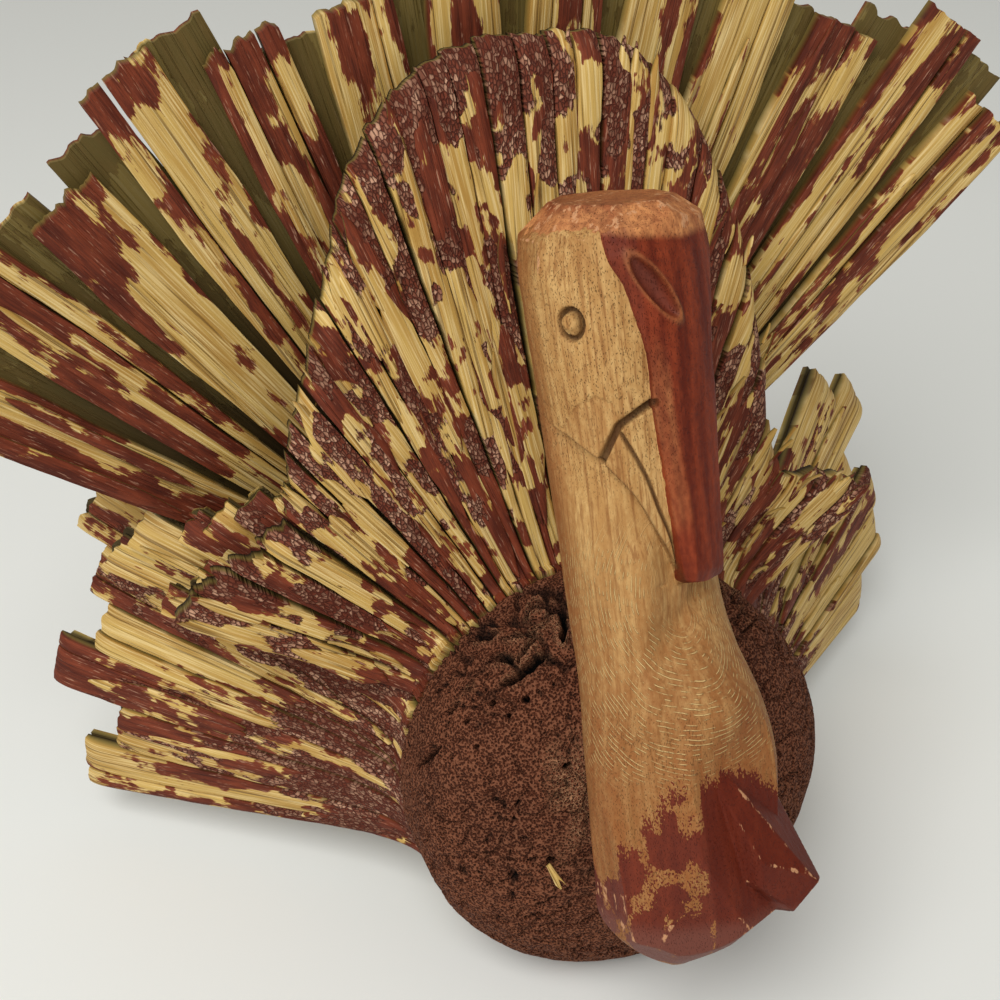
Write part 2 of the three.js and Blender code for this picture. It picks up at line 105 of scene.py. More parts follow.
# %% Sockets with arithmetic
class Wire:
    """An output socket of a material. Arithmetic on it adds Math nodes to the same material."""

    def __init__(self, tree, socket=None):
        self.tree = tree
        self.socket = socket

    def node(self, kind, settings=None, inputs=None, output=0):
        """Any node, from its type, its settings and the values or links of its sockets."""
        made = self.tree.nodes.new(kind)
        for name, value in (settings or {}).items():
            setattr(made, name, value)
        for name, value in (inputs or {}).items():
            if isinstance(value, Wire):
                self.tree.links.new(value.socket, made.inputs[name])
            else:
                made.inputs[name].default_value = value
        return Wire(self.tree, made.outputs[output])

    def maths(self, operation, first, second):
        return self.node("ShaderNodeMath", {"operation": operation}, {0: first, 1: second})

    def __add__(self, other):
        return self.maths("ADD", self, other)

    def __radd__(self, other):
        return self.maths("ADD", other, self)

    def __sub__(self, other):
        return self.maths("SUBTRACT", self, other)

    def __rsub__(self, other):
        return self.maths("SUBTRACT", other, self)

    def __mul__(self, other):
        return self.maths("MULTIPLY", self, other)

    def __rmul__(self, other):
        return self.maths("MULTIPLY", other, self)

    def step(self, low, high):
        """0 below low, 1 above high, and a smooth rise between them."""
        return self.node(
            "ShaderNodeMapRange",
            {"interpolation_type": "SMOOTHSTEP"},
            {"Value": self, "From Min": low, "From Max": high},
        )

    def mix(self, below, above):
        """The colour below where this value is 0, and above where it is 1."""
        return self.node("ShaderNodeMix", {"data_type": "RGBA"}, {0: self, 6: below, 7: above}, output=2)

    def stretch(self, *scale):
        """A place in the texture, scaled along each axis."""
        return self.node("ShaderNodeVectorMath", {"operation": "MULTIPLY"}, {0: self, 1: scale})

    def noise(self, detail=2.0, roughness=0.5):
        """Cloudy values from 0 to 1 at this place, about one blob to each unit."""
        return self.node("ShaderNodeTexNoise", None, {
            "Vector": self, "Scale": 1.0, "Detail": detail, "Roughness": roughness,
        })

    def cells(self, feature="F1", output=0):
        """Scattered cells, one to each unit: a distance to their middles or edges, or a colour for each."""
        return self.node("ShaderNodeTexVoronoi", {"feature": feature}, {"Vector": self, "Scale": 1.0}, output)

    def read(self, name, output=2):
        """A value that the mesh stores at each point: 2 for a number, 1 for a vector."""
        return self.node("ShaderNodeAttribute", {"attribute_name": name}, output=output)


def srgb(red, green, blue):
    """A colour as a paint chart gives it, from 0 to 255, for a shader socket."""
    def linear(value):
        share = value / 255
        return share / 12.92 if share <= 0.04045 else ((share + 0.055) / 1.055) ** 2.4
    return (linear(red), linear(green), linear(blue), 1.0)


def new_finish(name):
    """A material with its shader, and a wire to start its formulas from."""
    material = bpy.data.materials.new(name)
    material.use_nodes = True
    tree = material.node_tree
    return material, tree.nodes["Principled BSDF"], Wire(tree)


def feed(shader, name, value):
    """Links a wire to a socket of the shader."""
    value.tree.links.new(value.socket, shader.inputs[name])


def relief(shader, height, depth):
    """Bump of the given depth in metres, from a height of 0 to 1."""
    feed(shader, "Normal", height.node("ShaderNodeBump", None, {"Height": height, "Distance": depth}))


print("node maths ready")

# %% [markdown]
# ## Floor and studio light
#
# The figure stands on a plain pale sheet. Most of the light is an even white sky, which keeps the colours
# as they are written. One broad lamp above and to the left gives the strips their soft shadows.

# %% Floor
FLOOR_SIZE = 4.0
FLOOR_GREY = srgb(240, 241, 236)

floor_mesh = bpy.data.meshes.new("floor")
half_floor = FLOOR_SIZE / 2
floor_mesh.from_pydata(
    [(-half_floor, -half_floor, 0), (half_floor, -half_floor, 0),
     (half_floor, half_floor, 0), (-half_floor, half_floor, 0)], [], [(0, 1, 2, 3)])
floor = bpy.data.objects.new("floor", floor_mesh)
bpy.context.scene.collection.objects.link(floor)
paper, paper_shader, _ = new_finish("floor_sheet")
paper_shader.inputs["Base Color"].default_value = FLOOR_GREY
paper_shader.inputs["Roughness"].default_value = 0.8
floor.data.materials.append(paper)
print("floor", FLOOR_SIZE, "m wide")

# %% Sky and lamp
SKY_STRENGTH = 0.40
LAMP_POWER = 12.5
LAMP_SIZE = 0.8
LAMP_PLACE = (-0.55, -0.5, 1.1)
LAMP_AIM = (0.0, 0.03, 0.1)

world = bpy.data.worlds.new("studio")
world.use_nodes = True
world.node_tree.nodes["Background"].inputs["Color"].default_value = srgb(255, 254, 250)
world.node_tree.nodes["Background"].inputs["Strength"].default_value = SKY_STRENGTH
bpy.context.scene.world = world


def area_lamp(name, place, aim, size, power):
    """A square soft box that faces a point."""
    lamp = bpy.data.objects.new(name, bpy.data.lights.new(name, "AREA"))
    lamp.data.size = size
    lamp.data.energy = power
    lamp.location = place
    direction = np.array(aim) - np.array(place)
    pitch = math.atan2(math.hypot(direction[0], direction[1]), -direction[2])
    lamp.rotation_euler = (pitch, 0.0, math.atan2(-direction[0], direction[1]))
    bpy.context.scene.collection.objects.link(lamp)


area_lamp("soft_box", LAMP_PLACE, LAMP_AIM, LAMP_SIZE, LAMP_POWER)
print("one lamp and an even sky")

# %% [markdown]
# ## Randomness that repeats
#
# Torn leaves need irregular shapes that are the same on each run. A small table of random numbers, read
# with smooth steps between its entries, gives soft blobs of any size. Adding finer copies gives natural
# looking mottling.

# %% Mottling for meshes
TABLE_SIZE = 32
random_table = np.random.default_rng(7).random((TABLE_SIZE, TABLE_SIZE, TABLE_SIZE))


def blobs(x, y, z):
    """Smooth random values from 0 to 1, one blob to each unit."""
    place = np.broadcast_arrays(x, y, z)
    cell = [np.floor(c).astype(int) for c in place]
    ease = []
    for c, whole in zip(place, cell):
        part = c - whole
        ease.append(part * part * (3 - 2 * part))
    total = 0.0
    for corner in np.ndindex(2, 2, 2):
        weight = 1.0
        for axis in range(3):
            weight = weight * (ease[axis] if corner[axis] else 1 - ease[axis])
        index = tuple((cell[axis] + corner[axis]) % TABLE_SIZE for axis in range(3))
        total = total + weight * random_table[index]
    return total


def mottle(x, y, z=0.0, octaves=3):
    """Mottling from about -0.5 to 0.5: blobs of one unit with finer ones on them."""
    total = 0.0
    size = 1.0
    whole = 0.0
    for octave in range(octaves):
        grow = 2 ** octave
        total = total + size * (blobs(x * grow + 5.7 * octave, y * grow, z * grow + 3.1 * octave) - 0.5)
        whole += size
        size /= 2
    return total / whole


def rise(value, low, high):
    """0 below low, 1 above high, and a smooth rise between them."""
    share = np.clip((value - low) / (high - low), 0.0, 1.0)
    return share * share * (3 - 2 * share)


print("mottling spans", np.round(np.ptp(mottle(np.linspace(0, 30, 500), 0.0)), 2))

# %% [markdown]
# ## Meshes from grids
#
# Every piece below is made of grids of points: the top and bottom of a strip, the skin of the carving, the
# face of the breast. This cell turns grids into closed shells and shells into one object. It also stores
# what the finishes need at each point, such as the place along the fibre or the amount of paint, as named
# attributes of the mesh.


# %% Shells and pieces
def grid_faces(rows, columns, first=0, wrap=False):
    """Quads between the points of a grid that are numbered row by row."""
    across = columns if wrap else columns - 1
    row, column = np.meshgrid(np.arange(rows - 1), np.arange(across), indexing="ij")
    after = (column + 1) % columns
    quads = np.stack([row * columns + column, row * columns + after,
                      (row + 1) * columns + after, (row + 1) * columns + column], axis=-1)
    return quads.reshape(-1, 4) + first


def grid_edge(rows, columns):
    """The points round the edge of a grid, in order."""
    size = rows * columns
    return np.concatenate([
        np.arange(columns), columns * np.arange(1, rows) + columns - 1,
        size - 2 - np.arange(columns - 1), columns * np.arange(rows - 2, 0, -1)])


class Shells:
    """Collects closed shells, in millimetres, and makes one object of them."""

    def __init__(self):
        self.points = []
        self.faces = []
        self.stored = []
        self.count = 0

    def add(self, points, faces, **stored):
        """Takes the points and faces of a shell, and what its finish needs at each point."""
        self.points.append(points)
        self.faces.extend([[corner + self.count for corner in face] for face in faces])
        self.stored.append(stored)
        self.count += len(points)

    def slab(self, under, top, shade_under, **stored):
        """A closed plate between two grids of points, with the same values but for the painted shade
        underneath.
        """
        rows, columns = top.shape[:2]
        size = rows * columns
        edge = grid_edge(rows, columns)
        after = np.roll(edge, -1)
        rim = np.stack([edge, edge + size, after + size, after], axis=-1)
        both = {name: np.concatenate([v.reshape(size, -1)] * 2) for name, v in stored.items()}
        both["shade"][:size] = shade_under
        faces = np.concatenate([grid_faces(rows, columns), grid_faces(rows, columns, size)[:, ::-1], rim])
        self.add(np.concatenate([under.reshape(size, 3), top.reshape(size, 3)]), faces.tolist(), **both)

    def build(self, name, material, crease=50):
        """The object, with its material and its smooth and sharp edges."""
        mesh = bpy.data.meshes.new(name)
        mesh.from_pydata(np.concatenate(self.points) * MM, [], self.faces)
        for key in self.stored[0]:
            values = [s[key].reshape(len(p), -1) for s, p in zip(self.stored, self.points)]
            values = np.concatenate(values).astype(np.float32)
            kind, field = ("FLOAT_VECTOR", "vector") if values.shape[1] == 3 else ("FLOAT", "value")
            attribute = mesh.attributes.new(key, kind, "POINT")
            attribute.data.foreach_set(field, values.ravel())
        mesh.polygons.foreach_set("use_smooth", [True] * len(mesh.polygons))
        mesh.set_sharp_from_angle(angle=math.radians(crease))
        mesh.materials.append(material)
        piece = bpy.data.objects.new(name, mesh)
        bpy.context.scene.collection.objects.link(piece)
        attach(piece, "root")
        return piece


print("shells ready")

# %% [markdown]
# ## The finish of a leaf
#
# A dried leaf is straw with fine lines along its length. Red-brown paint covers it in ragged patches that
# follow the fibres. Where the skin is worn off, the spongy inside shows as a net of scales. The mesh stores
# the place along and across the fibre, a paint level, a skin level and a painted shade for the sides, the
# undersides and the faces in the gaps. The shader adds fine noise to the levels and cuts them sharply, so
# the patches are far finer than the grid of the mesh.

# %% Straw, paint and net
STRAW_LINE = srgb(112, 78, 34)
STRAW_DEEP = srgb(178, 136, 66)
STRAW = srgb(204, 168, 92)
STRAW_PALE = srgb(228, 200, 138)
PAINT_DARK = srgb(82, 32, 18)
PAINT = srgb(130, 60, 36)
PAINT_THIN = srgb(170, 98, 52)
NET_LINE = srgb(70, 32, 22)
NET_BROWN = srgb(116, 58, 40)
NET_PALE = srgb(204, 158, 128)
# Olive is the greenish side of a strip, darkened as painted shade. The near-black gap colour is painted shade
# for gaps, undersides and hidden faces.
OLIVE = srgb(122, 108, 54)
HOLLOW = srgb(34, 22, 12)


def leaf_finish(name, gloss, chipped):
    """Straw with worn paint and worn skin, chipped into islands or worn along the fibres."""
    material, shader, start = new_finish(name)
    fibre = start.read("fibre", output=1)
    fine = fibre.stretch(60.0, 2600.0, 0.37).noise(3.0)
    broad = fibre.stretch(16.0, 240.0, 0.61).noise(2.0)
    lines = fibre.stretch(22.0, 1300.0, 0.83).noise(2.0).step(0.56, 0.70)
    straw = broad.step(0.35, 0.65).mix(STRAW_DEEP, STRAW)
    straw = fine.step(0.42, 0.72).mix(straw, STRAW_PALE)
    straw = (lines * 0.7).mix(straw, STRAW_LINE)

    tears = fibre.stretch(75.0, 560.0, 0.43).noise(4.0, 0.6)
    teeth = fibre.stretch(190.0, 2300.0, 0.59).noise(3.0, 0.6)
    chips = fibre.stretch(150.0, 210.0, 0.51).noise(2.0) - 0.5
    level = start.read("paint") + 0.5 * (tears - 0.5) + 0.36 * (teeth - 0.5) + chipped * chips
    painted = level.step(0.49, 0.515)
    body = fibre.stretch(80.0, 420.0, 0.29).noise(3.0)
    paint = (0.8 * body + 0.4 * fine - 0.1).step(0.3, 0.75).mix(PAINT_DARK, PAINT)
    paint = (teeth.step(0.46, 0.36) * 0.55).mix(paint, NET_LINE)
    paint = (teeth.step(0.60, 0.70) * 0.5).mix(paint, NET_PALE)
    paint = (level.step(0.545, 0.50) * 0.6).mix(paint, PAINT_THIN)
    skin = painted.mix(straw, paint)

    scales = fibre.stretch(760.0, 1500.0, 0.7)
    edges = scales.cells("DISTANCE_TO_EDGE")
    tint = scales.cells(output=1) + 0.9 * (tears - 0.5) + 0.5 * (body - 0.5)
    net = tint.step(0.32, 0.98).mix(NET_BROWN, NET_PALE)
    net = edges.step(0.14, 0.02).mix(net, NET_LINE)
    net = (painted * 0.45).mix(net, PAINT_DARK)
    skin_level = start.read("skin") + 0.3 * (tears - 0.5) + 0.18 * (teeth - 0.5) + 0.4 * chips
    worn = skin_level.step(0.51, 0.48)
    colour = worn.mix(skin, net)
    # Painted shade: the colour turns olive as the value grows, and near black above about 0.4, on strip
    # sides, undersides, backings and gaps.
    shade = start.read("shade")
    colour = (shade.step(0.0, 0.55) * 0.8).mix(colour, OLIVE)
    colour = shade.step(0.4, 1.0).mix(colour, HOLLOW)
    feed(shader, "Base Color", colour)

    feed(shader, "Roughness", gloss + 0.1 * painted + 0.2 * worn)
    shader.inputs["Specular IOR Level"].default_value = 0.2
    scale_depth = worn * (0.55 - 0.45 * edges.step(0.0, 0.3))
    height = 0.30 * fine - 0.35 * lines + 0.16 * painted - scale_depth
    relief(shader, height + 0.6, 0.0006)
    return material


cape_finish = leaf_finish("sanded_cape_leaf", 0.58, 1.15)
wing_finish = leaf_finish("sanded_wing_leaf", 0.56, 0.8)
tail_finish = leaf_finish("sanded_tail_leaf", 0.54, 0.55)
base_finish = leaf_finish("plain_base_leaf", 0.60, 0.5)
print("leaf finishes made")

# %% [markdown]
# ## How a leaf runs
#
# All leaves are laid out on the bundle: a depth along its axis, a radius from it and an angle round it. The
# bundle lies with its thick end forward, so it is tipped by a few degrees. A `Run` keeps the middle line of
# one leaf, with the directions across it and out of its face, so that strips can be laid on it like planks
# on a curved floor.

# %% Runs on the bundle
AXIS_HEIGHT = 48.0
TILT = math.radians(12)
FIT_GAP = 0.3
LEAF_GAP = 0.8
breast_low, breast_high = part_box("breast_core")
BREAST_RADIUS = (breast_high.x - breast_low.x) / 2 / MM
BREAST_BULGE = 30.0
BREAST_REAR = 12.0


def tip(vectors):
    """Directions of the tipped bundle, as they lie in the world."""
    x, y, z = np.moveaxis(vectors, -1, 0)
    cosine, sine = math.cos(TILT), math.sin(TILT)
    return np.stack([x, y * cosine + z * sine, z * cosine - y * sine], -1)


def stand(points):
    """Points of the bundle, as they lie in the world."""
    return tip(points) + np.array([0.0, AXIS_HEIGHT * math.tan(TILT), AXIS_HEIGHT])


def unit(vectors):
    """The same directions, each of length 1."""
    return vectors / np.linalg.norm(vectors, axis=-1, keepdims=True)


class Run:
    """The middle line of a leaf, with its directions, width and thickness at each length along it."""

    def __init__(self, depth, radius, angle, width, thickness):
        depth, radius, angle = np.broadcast_arrays(depth, radius, angle)
        line = np.stack([radius * np.sin(angle), depth, radius * np.cos(angle)], -1)
        ahead = unit(np.gradient(line, axis=0))
        across = np.stack([np.cos(angle), np.zeros(len(line)), -np.sin(angle)], -1)
        across = unit(across - ahead * np.sum(across * ahead, axis=-1, keepdims=True))
        steps = np.linalg.norm(np.diff(line, axis=0), axis=1)
        self.station = np.concatenate([[0.0], np.cumsum(steps)])
        self.length = self.station[-1]
        self.radius = radius
        self.angle = angle
        self.width = np.broadcast_to(width, radius.shape)
        self.thickness = np.broadcast_to(thickness, radius.shape)
        self.line = stand(line)
        self.across = tip(across)
        self.outward = tip(np.cross(across, ahead))

    def at(self, values, length):
        """Values along the run, read at the given lengths."""
        if values.ndim == 1:
            return np.interp(length, self.station, values)
        return np.stack([np.interp(length, self.station, values[:, k]) for k in range(3)], -1)


def wedge_width(radius, thickness, wedge):
    """The widest strip that stays inside its own wedge of the bundle."""
    return 2 * (radius - thickness / 2) * np.tan(wedge / 2) - LEAF_GAP


def bend(start, middle, end, steps=48):
    """Depth and radius along a smooth bend with three guide points."""
    t = np.linspace(0, 1, steps)[:, None]
    start, middle, end = np.array(start), np.array(middle), np.array(end)
    points = (1 - t) ** 2 * start + 2 * t * (1 - t) * middle + t ** 2 * end
    return points[:, 0], points[:, 1]


print("breast radius", round(BREAST_RADIUS, 1), "mm")

# %% [markdown]
# ## A torn strip
#
# The leaves split along their fibres, so each one is built from a few strips with dark gaps between them. A
# strip is a plate of two grids. Its edges wander, its cut end is ragged, fine ridges run along its top, and
# it may taper to a point. Worn places lie a little deeper than the skin, so the patches can be felt and not
# only seen.

# %% Strips
ROW_STEP = 1.3
COLUMN_STEP = 0.7
RIDGE = 0.16
FLUTE = 0.3
SKIN_STEP = 0.4
fray = np.random.default_rng(21)


def strip(shells, run, levels, middle=0.0, share=None, broad=None, start=0.0, end=1.0, lift=0.0,
          thickness=2.0, ragged=1.5, taper=(0.0, 0.0), rim=None, round_end=0.0, wander=0.5, cup=0.3,
          gap=0.0, peel=0.0, dark=(0.0, 1.0), fade=None):
    """Lays one strip on a run.

    Middle and share are parts of the leaf's width, and broad is a width in millimetres. Without a
    thickness it is as thick as the leaf. Peel lifts its end off the leaf. Dark gives the painted shade of
    its top and of its underside, and fade the painted shade of the top at the tip.
    """
    number = float(fray.uniform(0, 900))
    first, last = start * run.length, end * run.length
    width = broad if broad else share * float(run.width.max())
    rows = max(5, round((last - first) / ROW_STEP))
    columns = max(5, round(width / COLUMN_STEP))
    k, t = np.meshgrid(np.linspace(0, 1, rows), np.linspace(-1, 1, columns), indexing="ij")
    if rim:
        last = np.minimum(last, rim(middle * run.width[-1] / 2 + t * width / 2))
    jag = ragged * (0.5 + 1.4 * mottle(t * width / 5.0, number, 0.3, 3))
    jag_root = 0.4 * ragged * (0.5 + 1.4 * mottle(t * width / 5.0, number, 7.9, 3))
    length = first + jag_root + k * (last - first - jag - jag_root)

    thick = run.at(run.thickness, length) if thickness is None else np.full_like(length, thickness)
    leaf_half = run.at(run.width, length) / 2
    half = np.full_like(length, broad / 2) if broad else share * leaf_half
    half = half * (1 - gap * (0.5 + 1.6 * mottle(length / 38.0, number + np.sign(t) * 5.0, 2.9, 2)))
    if taper[0]:
        half = half * np.clip((length - first) / taper[0], 0.02, 1) ** 0.7
    if taper[1]:
        half = half * np.clip((last - length) / taper[1], 0.02, 1) ** 0.7
    edge_noise = mottle(length / 9.0, number + np.sign(t) * 3.0, 1.7, 3)
    half = np.maximum(half + wander * edge_noise * np.abs(t), 0.15)
    sideways = middle * leaf_half + t * half

    paint, skin = levels(length, sideways, run, number)
    ridges = RIDGE * mottle(length / 60.0, sideways / 0.9, number, 2)
    ridges = ridges + FLUTE * mottle(length / 45.0, sideways / 3.2, number + 5.0, 2)
    lift = lift + peel * k ** 3
    top = lift + thick / 2 + ridges + SKIN_STEP * (rise(skin, 0.42, 0.58) - 1.0)
    top = top - cup * t ** 2 - 0.2 * rise(np.abs(t), 0.85, 1.0)
    if round_end:
        over = np.clip((length - (last - round_end)) / round_end, 0, 1)
        top = top - thick * 0.9 * (1 - np.sqrt(np.clip(1 - over ** 2, 0, 1)))
    under = np.minimum(lift - thick / 2 - cup * t ** 2, top - 0.35)

    outward = run.at(run.outward, length)
    spot = run.at(run.line, length) + run.at(run.across, length) * sideways[..., None]
    fibre = np.stack([length * MM, sideways * MM, np.full_like(length, number)], -1)
    # Painted shade on the top, from dark at the root to fade at the tip. The sides run from it to the
    # underside's painted shade.
    shade = dark[0] + ((dark[0] if fade is None else fade) - dark[0]) * rise(k, 0.35, 0.95)
    shells.slab(spot + outward * under[..., None], spot + outward * top[..., None], dark[1],
                fibre=fibre, paint=paint, skin=skin, shade=shade)


print("strips up to", COLUMN_STEP, "mm fine")

# %% [markdown]
# ## Tail
#
# The tail is the tallest part: long flat leaves in two layers that turn up behind the bundle and fan out.
# Each leaf becomes one or two planks of uneven height with a thin sliver or two on top. The paint lies on
# them in long ragged patches, and the skin is whole. The back layer fills the gaps, and its front is
# painted dark as shade, so the gaps between the front planks look deep.

# %% Tail runs
TAIL_COUNT = 13
TAIL_WEDGE = math.radians(100) / TAIL_COUNT
TAIL_TURN = math.radians(-4)
TAIL_RADIUS = 190.0
TAIL_TRIM = 7.0
TAIL_WIDTH = 18.0
TAIL_THICKNESS = 2.6
TAIL_DEPTH = 64.0
TAIL_BEND = 12.0
TAIL_LEAN = math.radians(-11)
TAIL_ROOT = 24.3
TAIL_FRONT_SEAT = 33.9
TAIL_PITCH = TAIL_THICKNESS + FIT_GAP
TRIM_STEP = 2.4


def tail_run(place, seat, depth_of_blade, fill):
    """Back along the waist, round the bend and up to the tip. Fill is its share of the wedge."""
    angle = TAIL_TURN + (place - (TAIL_COUNT - 1) / 2) * TAIL_WEDGE
    turn = np.linspace(0, math.pi / 2 - TAIL_LEAN, 14)
    depth = depth_of_blade - TAIL_BEND + TAIL_BEND * np.sin(turn)
    radius = seat + TAIL_BEND * (1 - np.cos(turn))
    tip_radius = TAIL_RADIUS + TAIL_TRIM * math.sin(TRIM_STEP * place)
    climbed = np.linspace(0, tip_radius - radius[-1], 40)[1:]
    depth = np.concatenate([[TAIL_ROOT], depth, depth[-1] + climbed * math.tan(TAIL_LEAN)])
    radius = np.concatenate([[seat], radius, radius[-1] + climbed])
    width = np.minimum(TAIL_WIDTH, fill * wedge_width(radius, TAIL_THICKNESS, TAIL_WEDGE))
    return Run(depth, radius, angle, width, TAIL_THICKNESS)


def tail_levels(amount):
    """Paint in long patches over whole skin."""
    def levels(length, sideways, run, number):
        patches = mottle(length / 25.0, sideways / 5.5 + number, number * 0.37, 3)
        stripes = mottle(length / 80.0, sideways / 2.6, number * 0.71, 2)
        tips = 0.16 * rise(length, run.length - 16, run.length)
        return amount + 1.3 * patches + 0.5 * stripes + tips, np.ones_like(length)
    return levels


tail_layer_shift = TAIL_PITCH * (1 - math.sin(TAIL_LEAN)) / math.cos(TAIL_LEAN)
print("tail layers", round(tail_layer_shift, 2), "mm apart")

# %% Tail leaves
PLANKS = ((0.62, 0.38), (1.0,), (0.34, 0.66), (0.3, 0.42, 0.28), (0.75, 0.25))
PLANK_THICKNESS = 3.4
BACK_PLANK_THICKNESS = 2.2
SLIVER_THICKNESS = 1.0
DARK_SIDE_LEAVES = 5
DARK_SIDE_PAINT = 0.10


def planks(shells, run, levels, shares, thickness, spread, **more):
    """Strips side by side that share the width of a leaf, each a little higher or lower than the next."""
    left = -1.0
    for share in shares:
        strip(shells, run, levels, middle=left + share, share=share, thickness=thickness,
              lift=float(fray.uniform(*spread)), **more)
        left += 2 * share


def slivers(shells, run, levels, count, width, reach, lift, **more):
    """Loose narrow strips that lie on a leaf, pointed at both ends."""
    for _ in range(count):
        start = float(fray.uniform(*reach[0]))
        end = min(1.0, start + float(fray.uniform(*reach[1])))
        middle = float(fray.uniform(-0.75, 0.75))
        broad = float(fray.uniform(*width))
        taper = (float(fray.uniform(5, 16)), float(fray.uniform(5, 16)))
        strip(shells, run, levels, middle=middle, broad=broad, start=start, end=end, lift=lift,
              thickness=SLIVER_THICKNESS, ragged=0.4, dark=(0.0, 0.6), taper=taper, **more)


def tail_leaf(name, place, seat, depth_of_blade, front):
    """Planks and slivers of a front leaf, or one plank of a back leaf with its front painted dark as shade.
    """
    shells = Shells()
    run = tail_run(place, seat, depth_of_blade, 0.9 if front else 1.0)
    amount = float(fray.uniform(0.36, 0.52)) + DARK_SIDE_PAINT * (place < DARK_SIDE_LEAVES)
    levels = tail_levels(amount)
    if front:
        shares = PLANKS[int(fray.integers(len(PLANKS)))]
        torn = float(fray.uniform(1.0, 5.0))
        # The undersides are painted half dark, so the sides of the planks fade from olive into painted shade.
        planks(shells, run, levels, shares, PLANK_THICKNESS, (-0.5, 1.8), gap=0.16, ragged=torn,
               dark=(0.0, 0.5))
        loose = int(fray.integers(1, 4))
        slivers(shells, run, levels, loose, (1.4, 3.6), ((0.3, 0.6), (0.2, 0.5)), 2.4)
    else:
        # The back leaf's front is painted shade, near black at the root and olive-brown towards the tip.
        planks(shells, run, levels, (1.0,), BACK_PLANK_THICKNESS, (-0.3, 0.3), ragged=3.0,
               dark=(0.95, 0.0), fade=0.66)
    piece = shells.build(name + "_strips", tail_finish)
    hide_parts(name)


for i in range(TAIL_COUNT):
    tail_leaf(f"tail_front_leaf_{i + 1:02d}", i, TAIL_FRONT_SEAT, TAIL_DEPTH, True)
back_seat = TAIL_FRONT_SEAT - TAIL_PITCH
back_depth = TAIL_DEPTH + tail_layer_shift
for i in range(TAIL_COUNT - 1):
    tail_leaf(f"tail_back_leaf_{i + 1:02d}", i + 0.5, back_seat, back_depth, False)
print("tail leaves", 2 * TAIL_COUNT - 1)

# %% [markdown]
# ## Cape
#
# The cape stands between the head and the tail. Its leaves were trimmed to an arch and sanded hard, so most
# of the skin is gone: yellow islands are left on brown scaly net. Each leaf is a few narrow strips with
# deep slits between them, and pointed slivers of skin lie over them. At the rim the strips are thick and
# rounded over.

# %% Cape runs
CAPE_COUNT = 13
CAPE_WEDGE = math.radians(124) / CAPE_COUNT
CAPE_THICKNESS = 4.5
CAPE_RIM_THICKNESS = 8.0
CAPE_RIM_DEPTH = 27.0
CAPE_RIM_HEIGHT = 173.0
CAPE_RIM_HALF_WIDTH = 60.0
CAPE_FLARE = 30.0
CAPE_FLARE_START = math.radians(40)
CAPE_ARCH_POWER = 2.8
CAPE_LEAN = math.radians(1.5)
CAPE_SHOULDER = 12.0
CAPE_BEND_DEPTH = 8.0
ROOT_SEAT = 4.0
LEAF_ROOT = BREAST_REAR + FIT_GAP
CAPE_SEAT = BREAST_RADIUS - CAPE_THICKNESS / 2


def from_collar(seat, bend_depth, tip_depth, tip_radius):
    """Depth and radius of a bend that leaves the collar straight back and ends at a tip."""
    root = LEAF_ROOT + ROOT_SEAT
    return bend((root, seat), (root + bend_depth, seat), (tip_depth, tip_radius))


def arch_radius(angle):
    """The distance of the cape's rim from the axis. The arch leans to the bird's right and is wider there."""
    wide = np.abs(np.sin(angle + CAPE_LEAN)) / CAPE_RIM_HALF_WIDTH
    high = np.abs(np.cos(angle + CAPE_LEAN)) / CAPE_RIM_HEIGHT
    arch = (wide ** CAPE_ARCH_POWER + high ** CAPE_ARCH_POWER) ** (-1 / CAPE_ARCH_POWER)
    flare = CAPE_FLARE * rise(np.abs(angle), CAPE_FLARE_START, CAPE_COUNT * CAPE_WEDGE / 2)
    return arch + flare + CAPE_SHOULDER * rise(-angle, math.radians(20), CAPE_FLARE_START)


def cape_run(place):
    """From the collar up past the arch, so that each strip can be cut where the arch crosses it."""
    angle = (place - (CAPE_COUNT - 1) / 2) * CAPE_WEDGE
    end = float(arch_radius(angle + np.linspace(-0.6, 0.6, 9) * CAPE_WEDGE).max()) + 1.0
    depth, radius = from_collar(CAPE_SEAT, CAPE_BEND_DEPTH, CAPE_RIM_DEPTH, end)
    depth = np.concatenate([[LEAF_ROOT], depth])
    radius = np.concatenate([[CAPE_SEAT], radius])
    grown = (radius - CAPE_SEAT) / (end - CAPE_SEAT)
    thickness = CAPE_THICKNESS + (CAPE_RIM_THICKNESS - CAPE_THICKNESS) * grown
    width = wedge_width(radius, CAPE_THICKNESS, CAPE_WEDGE) + LEAF_GAP
    return Run(depth, radius, angle, width, thickness)


def cape_cut(run):
    """The length at which the arch cuts a strip, from its distance to the middle of the leaf."""
    def rim(sideways):
        arch = arch_radius(run.angle[-1] + sideways / run.radius[-1])
        return np.interp(arch, run.radius[1:], run.station[1:])
    return rim


def worn_levels(paint_amount, skin_amount, rim_wear):
    """Paint and skin both worn through in pointed patches."""
    def levels(length, sideways, run, number):
        islands = mottle(length / 13.0, sideways / 5.5 + number, number * 0.53, 3)
        patches = mottle(length / 19.0, sideways / 7.0 + number, number * 0.29, 3)
        root = rise(length, 45.0, 8.0)
        rim = rise(length, run.length - rim_wear, run.length - 2.0)
        paint = paint_amount + 1.6 * patches + 0.16 * root + 0.12 * rim
        skin = skin_amount + 1.7 * islands + 0.25 * root - 0.35 * rim
        return paint, skin
    return levels


print("cape rim height", round(float(arch_radius(0.0))), "mm from the axis")

# %% Cape leaves
CAPE_STRIP = 7.5
BACKING_THICKNESS = 2.0


